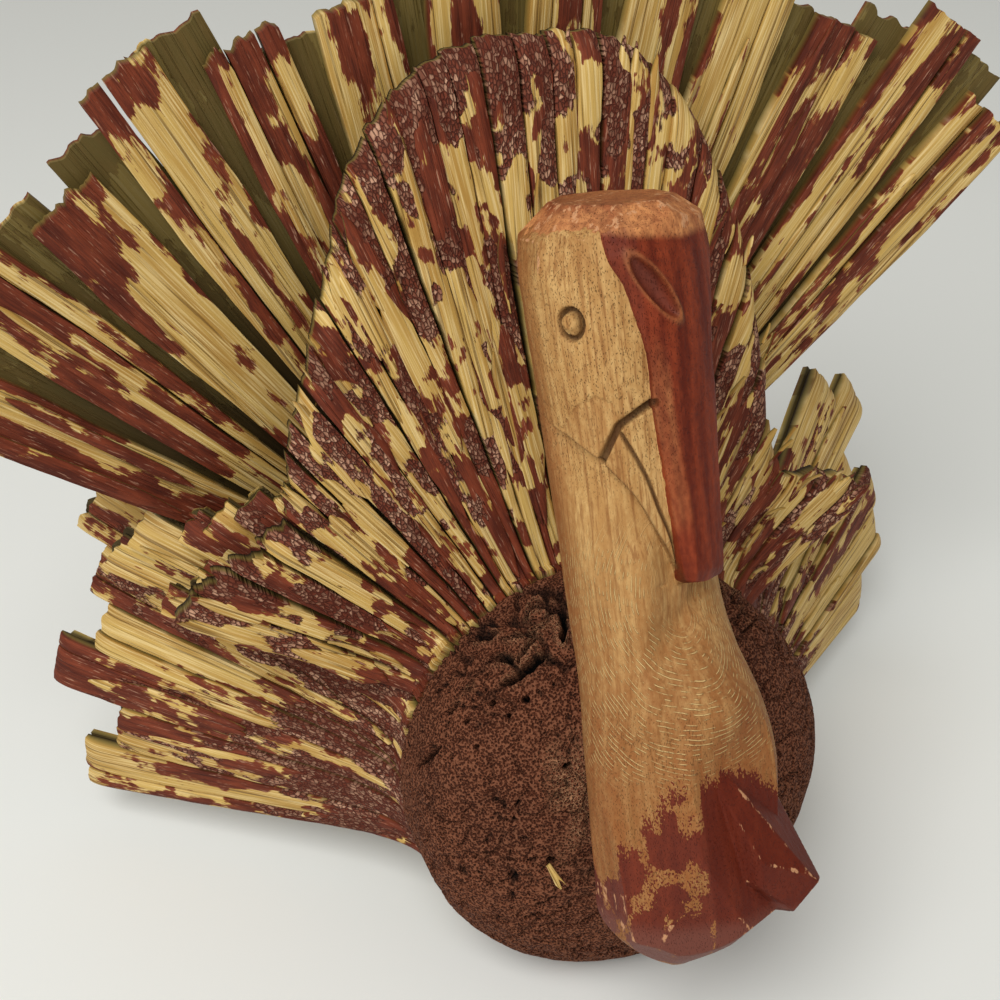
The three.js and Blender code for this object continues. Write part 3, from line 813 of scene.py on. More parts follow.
def cape_leaf(i):
    """A backing painted dark as shade under the slits, narrow strips, skin that is left in slivers, and two
    peeled shreds.
    """
    name = f"cape_leaf_{i + 1:02d}"
    shells = Shells()
    run = cape_run(i)
    rim = cape_cut(run)
    strips = max(2, round(float(run.width.max()) / CAPE_STRIP))
    shares = fray.uniform(0.7, 1.3, strips)
    shares = shares / shares.sum()
    levels = worn_levels(0.46, 0.54, 14.0)
    torn = 2.4 + 3.1 * float(rise(abs(run.angle[-1]), math.radians(36), math.radians(50)))
    # The backing's face is painted dark as shade, so the slits between the strips look deep.
    strip(shells, run, levels, share=1.04, lift=-2.4, thickness=BACKING_THICKNESS,
          rim=lambda sideways: rim(sideways) - 6.0, ragged=torn, dark=(0.85, 0.3))
    planks(shells, run, levels, shares, None, (-0.4, 1.3), rim=rim, round_end=10.0, gap=0.2, ragged=torn,
           wander=0.9)
    skins = worn_levels(0.38, 0.80, 10.0)
    slivers(shells, run, skins, 2 * strips, (2.6, 6.8), ((0.04, 0.84), (0.13, 0.4)), 3.1, rim=rim)
    peel = float(fray.uniform(2.0, 5.0))
    slivers(shells, run, skins, 2, (0.9, 1.8), ((0.1, 0.7), (0.1, 0.22)), 3.2, peel=peel)
    piece = shells.build(name + "_strips", cape_finish)
    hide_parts(name)


for i in range(CAPE_COUNT):
    cape_leaf(i)
print("cape leaves", CAPE_COUNT)

# %% [markdown]
# ## Wings
#
# The wings sweep back from the sides of the breast. Their leaves are broader and less worn than the cape's,
# with netted patches near the breast. The free tips are torn, so their strips end at uneven lengths. On the
# bird's right some leaves stand higher and close the space between the wing and the tail. Each of these
# shoulder leaves is given by its angle round the bundle and by the radius and depth of its tip.

# %% Wing runs
WING_COUNT = 6
WING_THICKNESS = 4.0
WING_ROOT = (63.0, 118.0)
WING_TIP = (56.0, 97.0)
WING_TIP_RADIUS = 130.0
WING_TIP_DEPTH = 85.0
WING_BEND_DEPTH = 14.0
WING_TRIM = 0.05
SHOULDER_HALF_WEDGE = math.radians(2.6)
SHOULDER = (
    (64.0, 108.0, 50.0), (61.0, 122.0, 62.0), (59.0, 106.0, 42.0), (56.5, 120.0, 54.0), (54.5, 104.0, 44.0),
    (52.5, 112.0, 47.0), (49.0, 110.0, 38.0), (45.0, 107.0, 34.0), (41.0, 103.0, 31.0),
)
# A broad leaf behind the shoulder whose face is painted dark as shade, to fill the space between the shoulder
# leaves.
INNER_LEAF = (55.0, 112.0, 62.0)
WING_SEAT = BREAST_RADIUS - CAPE_THICKNESS + WING_THICKNESS / 2


def wing_run(place, side, trim):
    """From the collar out and back to the tip. The leaf keeps its own wedge all the way."""
    depth, radius = from_collar(WING_SEAT, WING_BEND_DEPTH, WING_TIP_DEPTH, WING_TIP_RADIUS)
    along = np.linspace(0, 1, len(depth))
    kept = along <= 1 - WING_TRIM * (1 + trim)
    depth = np.concatenate([[LEAF_ROOT], depth[kept]])
    radius = np.concatenate([[WING_SEAT], radius[kept]])
    along = np.concatenate([[0.0], along[kept]])
    top = np.radians(WING_ROOT[0] + (WING_TIP[0] - WING_ROOT[0]) * along)
    bottom = np.radians(WING_ROOT[1] + (WING_TIP[1] - WING_ROOT[1]) * along)
    wedge = (bottom - top) / WING_COUNT
    angle = side * (top + (bottom - top) * (place + 0.5) / WING_COUNT)
    width = wedge_width(radius, WING_THICKNESS, wedge) + LEAF_GAP
    return Run(depth, radius, angle, width, WING_THICKNESS)


def shoulder_run(turn, reach, tip_depth):
    """A leaf between the wing and the tail, on the bird's right."""
    depth, radius = from_collar(WING_SEAT, WING_BEND_DEPTH, tip_depth, reach)
    angle = -math.radians(turn) * np.linspace(1.05, 1.0, len(depth))
    return Run(depth, radius, angle, 2 * radius * math.tan(SHOULDER_HALF_WEDGE), WING_THICKNESS)


def wing_levels(paint_amount, bare):
    """Broad straw, with net and paint near the breast. Bare says how much of the skin is gone there."""
    def levels(length, sideways, run, number):
        islands = mottle(length / 24.0, sideways / 7.0 + number, number * 0.53, 3)
        patches = mottle(length / 36.0, sideways / 8.0 + number, number * 0.29, 3)
        near = rise(length, 75.0, 25.0)
        return paint_amount + 1.4 * patches + 0.14 * near, 0.74 + 1.4 * islands - bare * near
    return levels


print("wing leaves end", WING_TIP_RADIUS, "mm from the axis")

# %% Wing leaves
SCALY_LEAVES = (2, 3, 4)
BARE = 0.24
BARE_SCALY = 0.46
BARE_SHOULDER = 0.4


def wing_strips(shells, run, levels, shares):
    """A backing painted dark as shade under the gaps, planks and slivers of one wing leaf."""
    # The backing's face is painted dark as shade under the gaps between the planks.
    strip(shells, run, levels, share=1.03, lift=-1.8, thickness=BACKING_THICKNESS, ragged=4.0,
          dark=(0.8, 0.2))
    torn = float(fray.uniform(1.0, 5.0))
    planks(shells, run, levels, shares, PLANK_THICKNESS, (-0.4, 1.6), gap=0.14, ragged=torn, round_end=7.0)
    slivers(shells, run, levels, 2, (2.0, 5.0), ((0.05, 0.6), (0.2, 0.5)), 2.4)


def wing_leaf(name, i, side, extra=()):
    """One leaf of a wing, with the leaves of the shoulder where they belong to it."""
    shells = Shells()
    run = wing_run(i, side, math.sin(TRIM_STEP * (i + side)))
    bare = BARE_SCALY if side < 0 and i in SCALY_LEAVES else BARE
    levels = wing_levels(float(fray.uniform(0.34, 0.5)) - (0.1 if side > 0 else 0.04), bare)
    wing_strips(shells, run, levels, PLANKS[int(fray.integers(len(PLANKS)))])
    for place in extra:
        wing_strips(shells, shoulder_run(*place), wing_levels(0.5, BARE_SHOULDER), (1.0,))
    if extra:
        # The shade-filling leaf, painted near black as shade in the space between wing and tail.
        strip(shells, shoulder_run(*INNER_LEAF), levels, share=2.4, dark=(0.9, 0.5))
    piece = shells.build(name + "_strips", wing_finish)
    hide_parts(name)


for i in range(WING_COUNT):
    wing_leaf(f"right_wing_leaf_{i + 1:02d}", i, -1, SHOULDER if i == 0 else ())
    wing_leaf(f"left_wing_leaf_{i + 1:02d}", i, 1)
print("wing leaves", 2 * WING_COUNT, "and", len(SHOULDER), "at the shoulder")

# %% [markdown]
# ## Base leaves
#
# A few flat leaves lie under the bundle and keep it from rolling. Only their tips show, from behind. They
# are built as the other leaves are, on a straight run along the table.

# %% Base leaves
BASE_COUNT = 5
BASE_TURN = math.radians(11)
BASE_STEP = 9.0
BASE_LENGTH = 95.0
BASE_ROOT_WIDTH = 8.2
BASE_TIP_WIDTH = 16.0


def base_leaf(i):
    """A run along the table: its root is under the breast and its tip at the rear."""
    name = f"base_leaf_{i + 1:02d}"
    low, high = (np.array(corner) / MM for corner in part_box(name))
    place = i - (BASE_COUNT - 1) / 2
    ahead = np.array([math.sin(BASE_TURN * place), math.cos(BASE_TURN * place), 0.0])
    root = np.array([BASE_STEP * place, low[1] + FIT_GAP, high[2] / 2])
    reach = np.linspace(0, 1, 12)
    width = BASE_ROOT_WIDTH + (BASE_TIP_WIDTH - BASE_ROOT_WIDTH) * reach
    run = Run(reach, 1.0, 0.0, width, high[2])
    run.station = reach * BASE_LENGTH
    run.length = BASE_LENGTH
    run.line = root + ahead * run.station[:, None]
    run.across = np.tile(np.array([ahead[1], -ahead[0], 0.0]), (len(reach), 1))
    run.outward = np.tile(np.array([0.0, 0.0, 1.0]), (len(reach), 1))
    shells = Shells()
    planks(shells, run, tail_levels(0.22), (0.55, 0.45), 2.6, (-0.2, 0.1), ragged=4.0, cup=0.1)
    piece = shells.build(name + "_strips", base_finish)
    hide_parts(name)


for i in range(BASE_COUNT):
    base_leaf(i)
print("base leaves", BASE_COUNT)

# %% [markdown]
# ## Breast
#
# The breast is the cut end of some hundreds of stalks, sanded to a dome. One square grid is pressed into a
# disc and laid over the dome, so its points are about evenly spaced. A grid of rings would be too fine in
# the middle. Pores, cracks and small holes are pushed into it. Near the upper edge the stalks still have
# their curled sheaths. The deep slits between them are drawn one by one on a flat map of the dome, each
# with its half width and its corners. A hole is a place on the same map and a size.

# %% End grain finish
END_DARK = srgb(66, 31, 18)
END_MAUVE = srgb(114, 64, 42)
END_WALL = srgb(156, 104, 76)
END_THREAD = srgb(190, 142, 104)
# The hole colour is painted shade, near black, for pores, slits, cracks and holes.
END_HOLE = srgb(13, 7, 5)

end_finish, end_shader, start = new_finish("spongy_end_grain")
grain = start.read("grain", output=1)
pores = grain.stretch(1900.0, 1900.0, 1900.0).cells()
clouds = grain.stretch(80.0, 80.0, 80.0).noise(4.0, 0.6)
crumbs = grain.stretch(2400.0, 2400.0, 2400.0).noise(2.0)
end_colour = (0.55 * clouds + 0.55 * crumbs - 0.05).step(0.25, 0.8).mix(END_DARK, END_MAUVE)
end_colour = ((pores + 0.35 * crumbs).step(0.62, 0.95) * 0.4).mix(end_colour, END_WALL)
# Pore dots are painted near black as shade in the holes.
dots = (pores + 0.3 * crumbs).step(0.48, 0.32) * (0.2 + 0.7 * clouds.step(0.40, 0.62))
end_colour = dots.mix(end_colour, END_HOLE)
net_edges = grain.stretch(1300.0, 1900.0, 1000.0).cells("DISTANCE_TO_EDGE")
threads = net_edges.step(0.13, 0.05) * start.read("threads") * clouds.step(0.40, 0.60)
end_colour = (threads * (0.35 + 0.65 * crumbs)).mix(end_colour, END_THREAD)
end_colour = start.read("pit").mix(end_colour, END_HOLE)
feed(end_shader, "Base Color", end_colour)
feed(end_shader, "Roughness", 0.74 + 0.2 * clouds)
end_shader.inputs["Specular IOR Level"].default_value = 0.12
relief(end_shader, 0.7 * pores.step(0.1, 0.6) + 0.2 * crumbs + 0.5 * threads, 0.0007)
print("end grain finish made")

# %% Map of the dome
BREAST_GRID = 420
SIDE_SHARE = 0.25
MAP_RADIUS = 66.0

square = np.linspace(-1, 1, BREAST_GRID)
square_x, square_z = np.meshgrid(square, square)
ring = np.maximum(np.abs(square_x), np.abs(square_z))
spread = np.maximum(np.hypot(square_x, square_z), 1e-9)
toward_x, toward_z = square_x / spread, square_z / spread
ring = ring * (1 + SIDE_SHARE)
curve = np.minimum(ring, 1.0) * math.pi / 2
face_radius = BREAST_RADIUS * np.sin(curve)
face_depth = -BREAST_BULGE * np.cos(curve) + BREAST_REAR * np.maximum(ring - 1, 0) / SIDE_SHARE
face = np.stack([face_radius * toward_x, face_depth, face_radius * toward_z], -1)
face_out = unit(np.stack([np.sin(curve) * toward_x / BREAST_RADIUS, -np.cos(curve) / BREAST_BULGE,
                          np.sin(curve) * toward_z / BREAST_RADIUS], -1))
map_x = MAP_RADIUS * ring * toward_x
map_z = MAP_RADIUS * ring * toward_z


def from_line(across, up, corners):
    """Distance from a line through corners, and the place along it that is nearest, from 0 to 1."""
    nearest = np.full(across.shape, 1e9)
    along = np.zeros(across.shape)
    for i, (a, b) in enumerate(zip(corners, corners[1:])):
        run_across, run_up = b[0] - a[0], b[1] - a[1]
        share = ((across - a[0]) * run_across + (up - a[1]) * run_up) / (run_across ** 2 + run_up ** 2)
        share = np.clip(share, 0, 1)
        spot = np.hypot(across - a[0] - share * run_across, up - a[1] - share * run_up)
        along = np.where(spot < nearest, (i + share) / (len(corners) - 1), along)
        nearest = np.minimum(nearest, spot)
    return nearest, along


print("dome map", round(MAP_RADIUS * (1 + SIDE_SHARE)), "mm out from its middle")

# %% Slits and holes
SLITS = (
    (1.5, (-27, 62), (-23, 66), (-18, 62), (-15, 55)), (1.3, (-33, 41), (-28, 42), (-25, 43), (-22, 46)),
    (0.9, (-33, 55), (-28, 54), (-24, 54), (-19, 56)), (1.2, (-47, 60), (-40, 59), (-35, 58)),
    (0.7, (-38, 48), (-34, 48.5), (-29, 47)), (0.8, (-28, 46), (-26, 48), (-23, 51)),
    (0.9, (-53, 36), (-50, 37), (-47, 39)), (1.0, (-63, 20), (-55, 24), (-51, 27)),
    (0.7, (-62, 44), (-57, 45), (-52, 48)), (0.6, (-44, 41), (-42, 44)),
    (0.8, (-17, 48), (-16, 52), (-17, 57)), (1.3, (22, 62), (25, 57), (29, 58), (31, 63)),
    (1.0, (31, 46), (35, 43), (37, 37)), (0.9, (24, 50), (28, 50), (31, 52)),
    (0.8, (44, 35), (41, 31), (39, 27)), (1.1, (36, 60), (39, 54), (44, 52)),
    (0.8, (20, 56), (22, 52), (21, 47)),
)
SLIT_DEPTH = 5.0
HOLES = ((-36, 36, 1.1), (-43, 33, 1.0), (-27, 36, 1.2), (-24, -1, 1.3), (-19, 20, 1.0), (-31, 33, 0.7),
         (-40, 27, 0.8), (-47, 24, 0.7), (30, 24, 0.8), (38, 12, 0.7))

drawn_x = map_x + 3.0 * mottle(map_x / 5, map_z / 5, 3.3)
drawn_z = map_z + 3.0 * mottle(map_x / 5 + 9.1, map_z / 5, 8.1)
slits = np.zeros(ring.shape)
lips = np.zeros(ring.shape)
for half_width, *corners in SLITS:
    away, along = from_line(drawn_x, drawn_z, corners)
    half = 1.25 * half_width * np.sqrt(np.clip(1 - (2 * along - 1) ** 2, 0.05, 1))
    slits = np.maximum(slits, 1 - rise(away, 0.55 * half, half))
    lips = np.maximum(lips, np.exp(-((away - 1.4 * half) / 1.0) ** 2))
for hole_x, hole_z, size in HOLES:
    away = np.hypot(drawn_x - hole_x, (drawn_z - hole_z) * 1.4)
    slits = np.maximum(slits, 1 - rise(away, 0.4 * size, size))
print("slits", len(SLITS), "holes", len(HOLES))

# %% Cracks, specks and sponge
CRACK_DEPTH = 2.2
SPECK_DEPTH = 0.9
SPONGE_DEPTH = 0.3
LIP_HEIGHT = 1.1

fx, fy, fz = np.moveaxis(face, -1, 0)
curls = rise(map_z, 34, 48) * rise(np.abs(map_x), 6, 14) * rise(np.abs(map_x), 56, 44)
veins = np.abs(mottle((fx + 9 * mottle(fx / 13, fz / 13, 3.3)) / 8, fz / 5, fy / 8, 2))
cracks = (1 - rise(veins, 0.012, 0.035 + 0.04 * curls)) * (0.35 + 0.6 * curls)
cracks = cracks * rise(mottle(fx / 9, fz / 9, 5.5), -0.18, 0.08)
specks = rise(mottle(fx / 1.5, fz / 1.5, fy / 1.5 + 4.4, 2), 0.17, 0.27)
specks = specks * rise(mottle(fx / 12, fz / 12, 7.7), -0.18, 0.1)
sponge = rise(mottle(fx / 0.9, fz / 0.9, fy / 0.9, 2), 0.02, 0.22)
edge_lines = mottle(ring * 30, np.arctan2(toward_x, toward_z) * 3.0, 2.2)
edge_lines = edge_lines * rise(ring, 0.78, 0.95) * rise(fz, 20, 0)
small_bumps = 0.4 * mottle(fx / 3.4, fz / 3.4, fy / 3.4) * (0.6 + 2.0 * curls)
bumps = mottle(fx / 14, fz / 14, fy / 14) + small_bumps
push = bumps + 0.6 * edge_lines + LIP_HEIGHT * lips * curls - SPONGE_DEPTH * sponge
push = push - SLIT_DEPTH * slits - CRACK_DEPTH * cracks - SPECK_DEPTH * specks
near_neck = rise(np.abs(fx + 20), 9, 2) * rise(np.abs(fz - 12), 22, 8) + curls * lips
print("deepest place", round(float(-push.min()), 1), "mm")

# %% Breast piece
pushed = face + face_out * push[..., None]
face_world = stand(pushed)
face_world[..., 2] = np.maximum(face_world[..., 2], 0.0)
face_quads = grid_faces(BREAST_GRID, BREAST_GRID).tolist()
rear_cap = grid_edge(BREAST_GRID, BREAST_GRID)[::-1].tolist()
# Slits, cracks and specks are painted near black as shade in their hollows.
pit = np.clip(rise(slits, 0.15, 0.5) + cracks + 0.8 * specks, 0, 1)

breast = Shells()
breast.add(face_world.reshape(-1, 3), face_quads + [rear_cap], grain=pushed.reshape(-1, 3) * MM, pit=pit,
           threads=np.clip(near_neck, 0, 1))
breast_piece = breast.build("breast_end_grain", end_finish, crease=80)
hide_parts("breast_core")
print("breast points", breast.count)

# %% [markdown]
# ## Collar and stalks
#
# Behind the breast the leaves narrow to a bound waist. The collar is a ribbed cone of leaf roots. From the
# rear one looks at the cut stalks, so the waist is a packet of short stalks. They were cut off in bunches,
# each bunch at its own length. One straw was left in a hole of the breast, and it belongs to this piece
# too.

# %% Stalk stubs
STALK_RINGS = ((25.5, 21), (18.0, 15), (10.6, 9), (3.6, 3))
STALK_FRONT = 20.0
STALK_THICK = 3.9
CORE_END = 78.0
STALK_BUNCHES = 6
STALK_UNEVEN = 8.0
STALK_MIDDLE = 10.0
STALK_ROWS = 26
STALK_SIDES = 16
base_low, base_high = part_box("base_leaf_03")


def above_base(points):
    """Keeps points over the leaves that lie on the table."""
    floor_level = np.where(points[..., 1] > base_low.y / MM - 0.5, base_high.z / MM + 0.1, 0.0)
    return np.concatenate([points[..., :2], np.maximum(points[..., 2], floor_level)[..., None]], -1)


def bunch_end(x, z):
    """Where the bunch of stalks at a place was cut off."""
    if math.hypot(x, z) < STALK_MIDDLE:
        return CORE_END
    bunch = int(math.atan2(-z, x) % (2 * math.pi) / (2 * math.pi / STALK_BUNCHES))
    return CORE_END - STALK_UNEVEN * (1 - math.sin(TRIM_STEP * bunch)) / 2


def tube(shells, points, **stored):
    """A closed tube through rings of points."""
    along, around = points.shape[:2]
    caps = [list(range(around)), list(range(around * along - 1, around * (along - 1) - 1, -1))]
    faces = grid_faces(along, around, wrap=True)[:, ::-1].tolist()
    shells.add(points.reshape(-1, 3), faces + caps, **stored)


stalks = Shells()
stalk_random = np.random.default_rng(5)
for ring_radius, count in STALK_RINGS:
    for i in range(count):
        number = float(stalk_random.uniform(0, 900))
        place = 2 * math.pi * i / count
        x, z = ring_radius * math.cos(place), ring_radius * math.sin(place)
        rear = bunch_end(x, z) - float(stalk_random.uniform(0, 1.5))
        sides = np.arange(STALK_SIDES) * 2 * math.pi / STALK_SIDES
        k, turn = np.meshgrid(np.linspace(0, 1, STALK_ROWS), sides, indexing="ij")
        depth = STALK_FRONT + k * (rear - STALK_FRONT)
        thick = STALK_THICK * (1 + 0.35 * mottle(np.cos(turn) + number, np.sin(turn), depth / 40))
        hollow = 1 - 0.12 * rise(k, 0.97, 1.0)
        thick_here = thick * hollow
        skin = np.stack([x + thick_here * np.cos(turn), depth, z + thick_here * np.sin(turn)], -1)
        fibre = np.stack([depth * MM, turn * thick * MM, np.full_like(depth, number)], -1)
        # The stalks are painted darker towards the front, as shade deep inside the packet, and lighter at
        # their cut ends.
        tube(stalks, above_base(stand(skin)), fibre=fibre, paint=np.full_like(k, 0.2),
             skin=1 - 0.8 * rise(k, 0.97, 1.0), shade=0.35 - 0.3 * rise(k, 0.6, 1.0))
print("stalks", len(stalks.points))

# %% Ribbed collar
COLLAR_DEPTHS = np.array([10.5, 11.5, 12.2, 15.1, 16.0, 24.0, 27.0])
COLLAR_RADII = np.array([30.0, 45.0, 47.2, 47.2, 45.4, 29.6, 28.0])
COLLAR_RIBS = 62
COLLAR_ROWS = 60
COLLAR_SIDES = 620

way = np.linspace(0, len(COLLAR_DEPTHS) - 1, COLLAR_ROWS)
steps = np.arange(len(COLLAR_DEPTHS))
sides = np.arange(COLLAR_SIDES) * 2 * math.pi / COLLAR_SIDES
depth, turn = np.meshgrid(np.interp(way, steps, COLLAR_DEPTHS), sides, indexing="ij")
radius = np.interp(way, steps, COLLAR_RADII)[:, None]
uneven = 5.0 * mottle(np.cos(turn) * 6, np.sin(turn) * 6, depth / 30)
ribs = 0.5 + 0.5 * np.cos(COLLAR_RIBS * turn + uneven)
split = rise(ribs, 0.25, 0.0)
radius = radius - 0.5 * (1 - ribs) - 1.2 * split
collar = np.stack([radius * np.cos(turn), depth, radius * np.sin(turn)], -1)
fibre = np.stack([depth * MM, turn * 40 * MM, np.full_like(depth, 4.0)], -1)
# The splits between the ribs are painted dark, as shade in the creases.
tube(stalks, above_base(stand(collar)), fibre=fibre, paint=np.full_like(depth, 0.3),
     skin=np.ones_like(depth), shade=0.15 + 0.7 * split)
print("collar ribs", COLLAR_RIBS)

# %% Loose straw
STRAW_ROOT = np.array([-28.0, -24.0, -2.0])
STRAW_AHEAD = np.array([0.35, -0.35, -0.87])
STRAW_ACROSS = np.array([1.0, 0.2, 0.3])
STRAW_LENGTH = 5.0
STRAW_BOW = 1.4

k, side = np.meshgrid(np.linspace(0, 1, 14), np.linspace(-1, 1, 6), indexing="ij")
frayed = STRAW_LENGTH * k * (1 + 0.9 * mottle(side * 3, 3.0, 1.0))
straw_spot = STRAW_ROOT + STRAW_AHEAD * frayed[..., None]
straw_spot = straw_spot + STRAW_ACROSS * ((0.5 + 0.5 * k) * side)[..., None]
straw_spot = straw_spot + np.array([0.0, -1.0, 0.0]) * (STRAW_BOW * np.sin(2.2 * k))[..., None]
fibre = np.stack([k * 6 * MM, side * MM, np.full_like(k, 8.0)], -1)
stalks.slab(stand(straw_spot), stand(straw_spot + np.array([0.0, -0.5, 0.15])), 0.3, fibre=fibre,
            paint=np.full_like(k, 0.1), skin=np.ones_like(k), shade=np.zeros_like(k))

stalk_piece = stalks.build("bundle_stalks", base_finish)
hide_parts("breast_core")
print("stalk and collar points", stalks.count)

# %% [markdown]
# ## Binding wire
#
# A hoop of soft iron wire holds the roots of the tail. It is two strands twisted round each other, and
# where their ends meet they are wound into a short tail. Both are made by one function that lays two tubes
# along a line.

# %% Twisted strands
WIRE_DEPTH = 33.0
WIRE_RADIUS = 36.45
STRAND = 0.5
STRAND_SIDES = 8
TWISTS = 46
KNOT_TURN = math.radians(-40)
KNOT_LENGTH = 9.0
HOOP_ROWS = 720
KNOT_ROWS = 60


def wind(shells, line, first, second, twist, closed):
    """Two strands that wind round each other along a line. First and second are square to the line."""
    rows = len(line)
    around = np.arange(STRAND_SIDES) * 2 * math.pi / STRAND_SIDES
    cosine, sine = np.cos(around)[None, :, None], np.sin(around)[None, :, None]
    rings = cosine * first[:, None] + sine * second[:, None]
    faces = grid_faces(rows + 1 if closed else rows, STRAND_SIDES, wrap=True) % (rows * STRAND_SIDES)
    faces = faces.tolist()
    if not closed:
        last = (rows - 1) * STRAND_SIDES
        faces += [list(range(STRAND_SIDES))[::-1], list(range(last, last + STRAND_SIDES))]
    for half in (0.0, math.pi):
        cosine, sine = np.cos(twist + half)[:, None], np.sin(twist + half)[:, None]
        middle = line + STRAND * (cosine * first + sine * second)
        strand = stand(middle[:, None] + STRAND * rings)
        shells.add(strand.reshape(-1, 3), faces, metal=strand.reshape(-1, 3) * MM)


print("strands", 2 * STRAND, "mm thick")

# %% Wire finish
IRON_DARK = srgb(74, 70, 66)
IRON_BRIGHT = srgb(118, 112, 106)
RUST = srgb(104, 60, 36)

wire_finish, wire_shader, start = new_finish("soft_iron_wire")
metal = start.read("metal", output=1)
rust = metal.stretch(420.0, 420.0, 420.0).noise(4.0, 0.65)
scratch = metal.stretch(2400.0, 900.0, 2400.0).noise(2.0)
rusty = (rust + 0.2 * scratch).step(0.56, 0.70)
iron = scratch.step(0.3, 0.7).mix(IRON_DARK, IRON_BRIGHT)
feed(wire_shader, "Base Color", rusty.mix(iron, RUST))
feed(wire_shader, "Metallic", 0.9 - 0.75 * rusty)
feed(wire_shader, "Roughness", 0.42 + 0.35 * rusty + 0.1 * scratch)
relief(wire_shader, 0.5 * rust + 0.3 * scratch, 0.0002)
print("wire finish made")

# %% Hoop and knot
hoop = Shells()
turn = np.arange(HOOP_ROWS) * 2 * math.pi / HOOP_ROWS
zero = np.zeros_like(turn)
outward = np.stack([np.cos(turn), zero, np.sin(turn)], -1)
rear = np.array([0.0, 1.0, 0.0])
wind(hoop, WIRE_RADIUS * outward + WIRE_DEPTH * rear, outward, np.tile(rear, (HOOP_ROWS, 1)),
     TWISTS * turn, True)
reach = np.linspace(0, 1, KNOT_ROWS)[:, None]
out = np.array([math.cos(KNOT_TURN), 0.0, math.sin(KNOT_TURN)])
level = np.cross(rear, out)
knot = WIRE_RADIUS * out + WIRE_DEPTH * rear
knot = knot + KNOT_LENGTH * (reach * rear + 0.25 * np.sin(3 * reach) * out)
wind(hoop, knot, np.tile(level, (KNOT_ROWS, 1)), np.tile(out, (KNOT_ROWS, 1)), 11.0 * reach[:, 0], False)
wire_piece = hoop.build("twisted_wire", wire_finish)
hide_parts("binding_wire")
print("wire points", hoop.count)

# %% [markdown]
# ## Peg
#
# The peg that holds the head is a plain dowel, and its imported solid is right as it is. It only gets a
# finish: pale wood with grain along the dowel. A kept solid has no stored values, so the grain is read from
# its own coordinates.

# %% Peg finish
PEG_SHADE = srgb(176, 142, 96)
PEG_LIGHT = srgb(214, 186, 140)
PEG_FLECK = srgb(140, 104, 62)

peg_finish, peg_shader, start = new_finish("plain_peg_wood")
inside = start.node("ShaderNodeTexCoord", output=3)
peg_grain = inside.stretch(1500.0, 60.0, 1500.0).noise(3.0)
peg_dust = inside.stretch(1200.0, 1200.0, 1200.0).noise(2.0)
peg_colour = peg_grain.step(0.3, 0.7).mix(PEG_SHADE, PEG_LIGHT)
feed(peg_shader, "Base Color", (peg_dust.step(0.6, 0.75) * 0.4).mix(peg_colour, PEG_FLECK))
feed(peg_shader, "Roughness", 0.6 + 0.2 * peg_dust)
relief(peg_shader, 0.6 * peg_grain + 0.3 * peg_dust, 0.0002)
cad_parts["head_peg"].material_slots[0].material = peg_finish
print("peg finish made")

# %% [markdown]
# ## Head
#
# The head is one carved stick. Sculpting would give its shape once, but numbers can be changed later, so
# its skin is a grid of angles round it and heights up it. The plain body comes from a few cross sections:
# each has its share of the height, and its half width to the side, to the front and to the back. Lines such
# as the mouth are drawn in angle and height, and the distance to a line gives the depth of its groove. Each
# side of the face is the same, so most lines are drawn once, for the right side, and read with the angle
# mirrored.

# %% Body of the carving
HEAD_LENGTH = 169.0
HEAD_AHEAD = 42.0
HEAD_LOW = 18.0
HEAD_OFFSET = -2.0
HEAD_LEAN = math.radians(11)
HEAD_TURN = math.radians(26)
HEAD_ROWS = 480
HEAD_COLUMNS = 500
SKIN_RADIUS = 17.5
SECTIONS = np.array([
    (0.0, 9.0, 4.0, 10.0), (0.03, 15.5, 12.0, 14.0), (0.08, 21.5, 21.5, 18.5), (0.12, 22.3, 24.0, 17.5),
    (0.18, 22.3, 24.0, 17.0), (0.225, 21.5, 23.0, 17.0), (0.305, 20.0, 22.5, 17.5), (0.36, 18.6, 19.8, 18.0),
    (0.41, 17.6, 15.0, 18.6), (0.45, 17.2, 12.8, 19.2), (0.515, 17.0, 12.0, 19.8), (0.59, 17.2, 12.4, 19.9),
    (0.735, 18.4, 14.0, 19.6), (0.865, 19.8, 15.6, 18.8), (0.925, 19.6, 16.0, 19.0), (0.97, 17.0, 14.8, 17.0),
    (1.0, 10.0, 10.0, 11.0),
])


def through(at, places, values):
    """A smooth line through given values."""
    slope = np.gradient(values, places)
    i = np.clip(np.searchsorted(places, at) - 1, 0, len(places) - 2)
    gap = places[i + 1] - places[i]
    t = (at - places[i]) / gap
    return ((1 + 2 * t) * (1 - t) ** 2 * values[i] + t * (1 - t) ** 2 * gap * slope[i]
            + t * t * (3 - 2 * t) * values[i + 1] + t * t * (t - 1) * gap * slope[i + 1])


height, turn = np.meshgrid(np.linspace(0, HEAD_LENGTH, HEAD_ROWS),
                           np.linspace(-180, 180, HEAD_COLUMNS, endpoint=False), indexing="ij")
mirrored = -np.abs(turn)
sine, cosine = np.sin(np.radians(turn)), np.cos(np.radians(turn))
half_side, half_front, half_back = (
    through(height / HEAD_LENGTH, SECTIONS[:, 0], SECTIONS[:, k]) for k in (1, 2, 3))
half_face = np.where(cosine > 0, half_front, half_back)
head_radius = 1 / np.sqrt((sine / half_side) ** 2 + (cosine / half_face) ** 2)
skin_across = np.radians(turn) * SKIN_RADIUS
print("head grid", HEAD_ROWS, "by", HEAD_COLUMNS)


# %% Lines of the face
def from_skin_line(angle, corners):
    """Distance over the skin, in millimetres, from a line through corners given as angle and height."""
    flat = [(math.radians(a) * SKIN_RADIUS, h) for a, h in corners]
    return from_line(np.radians(angle) * SKIN_RADIUS, height, flat)[0]


def level_of(angle, corners):
    """The height of a line at each angle."""
    table = np.array(sorted(corners))
    return np.interp(angle, table[:, 0], table[:, 1])


print("skin lines ready")

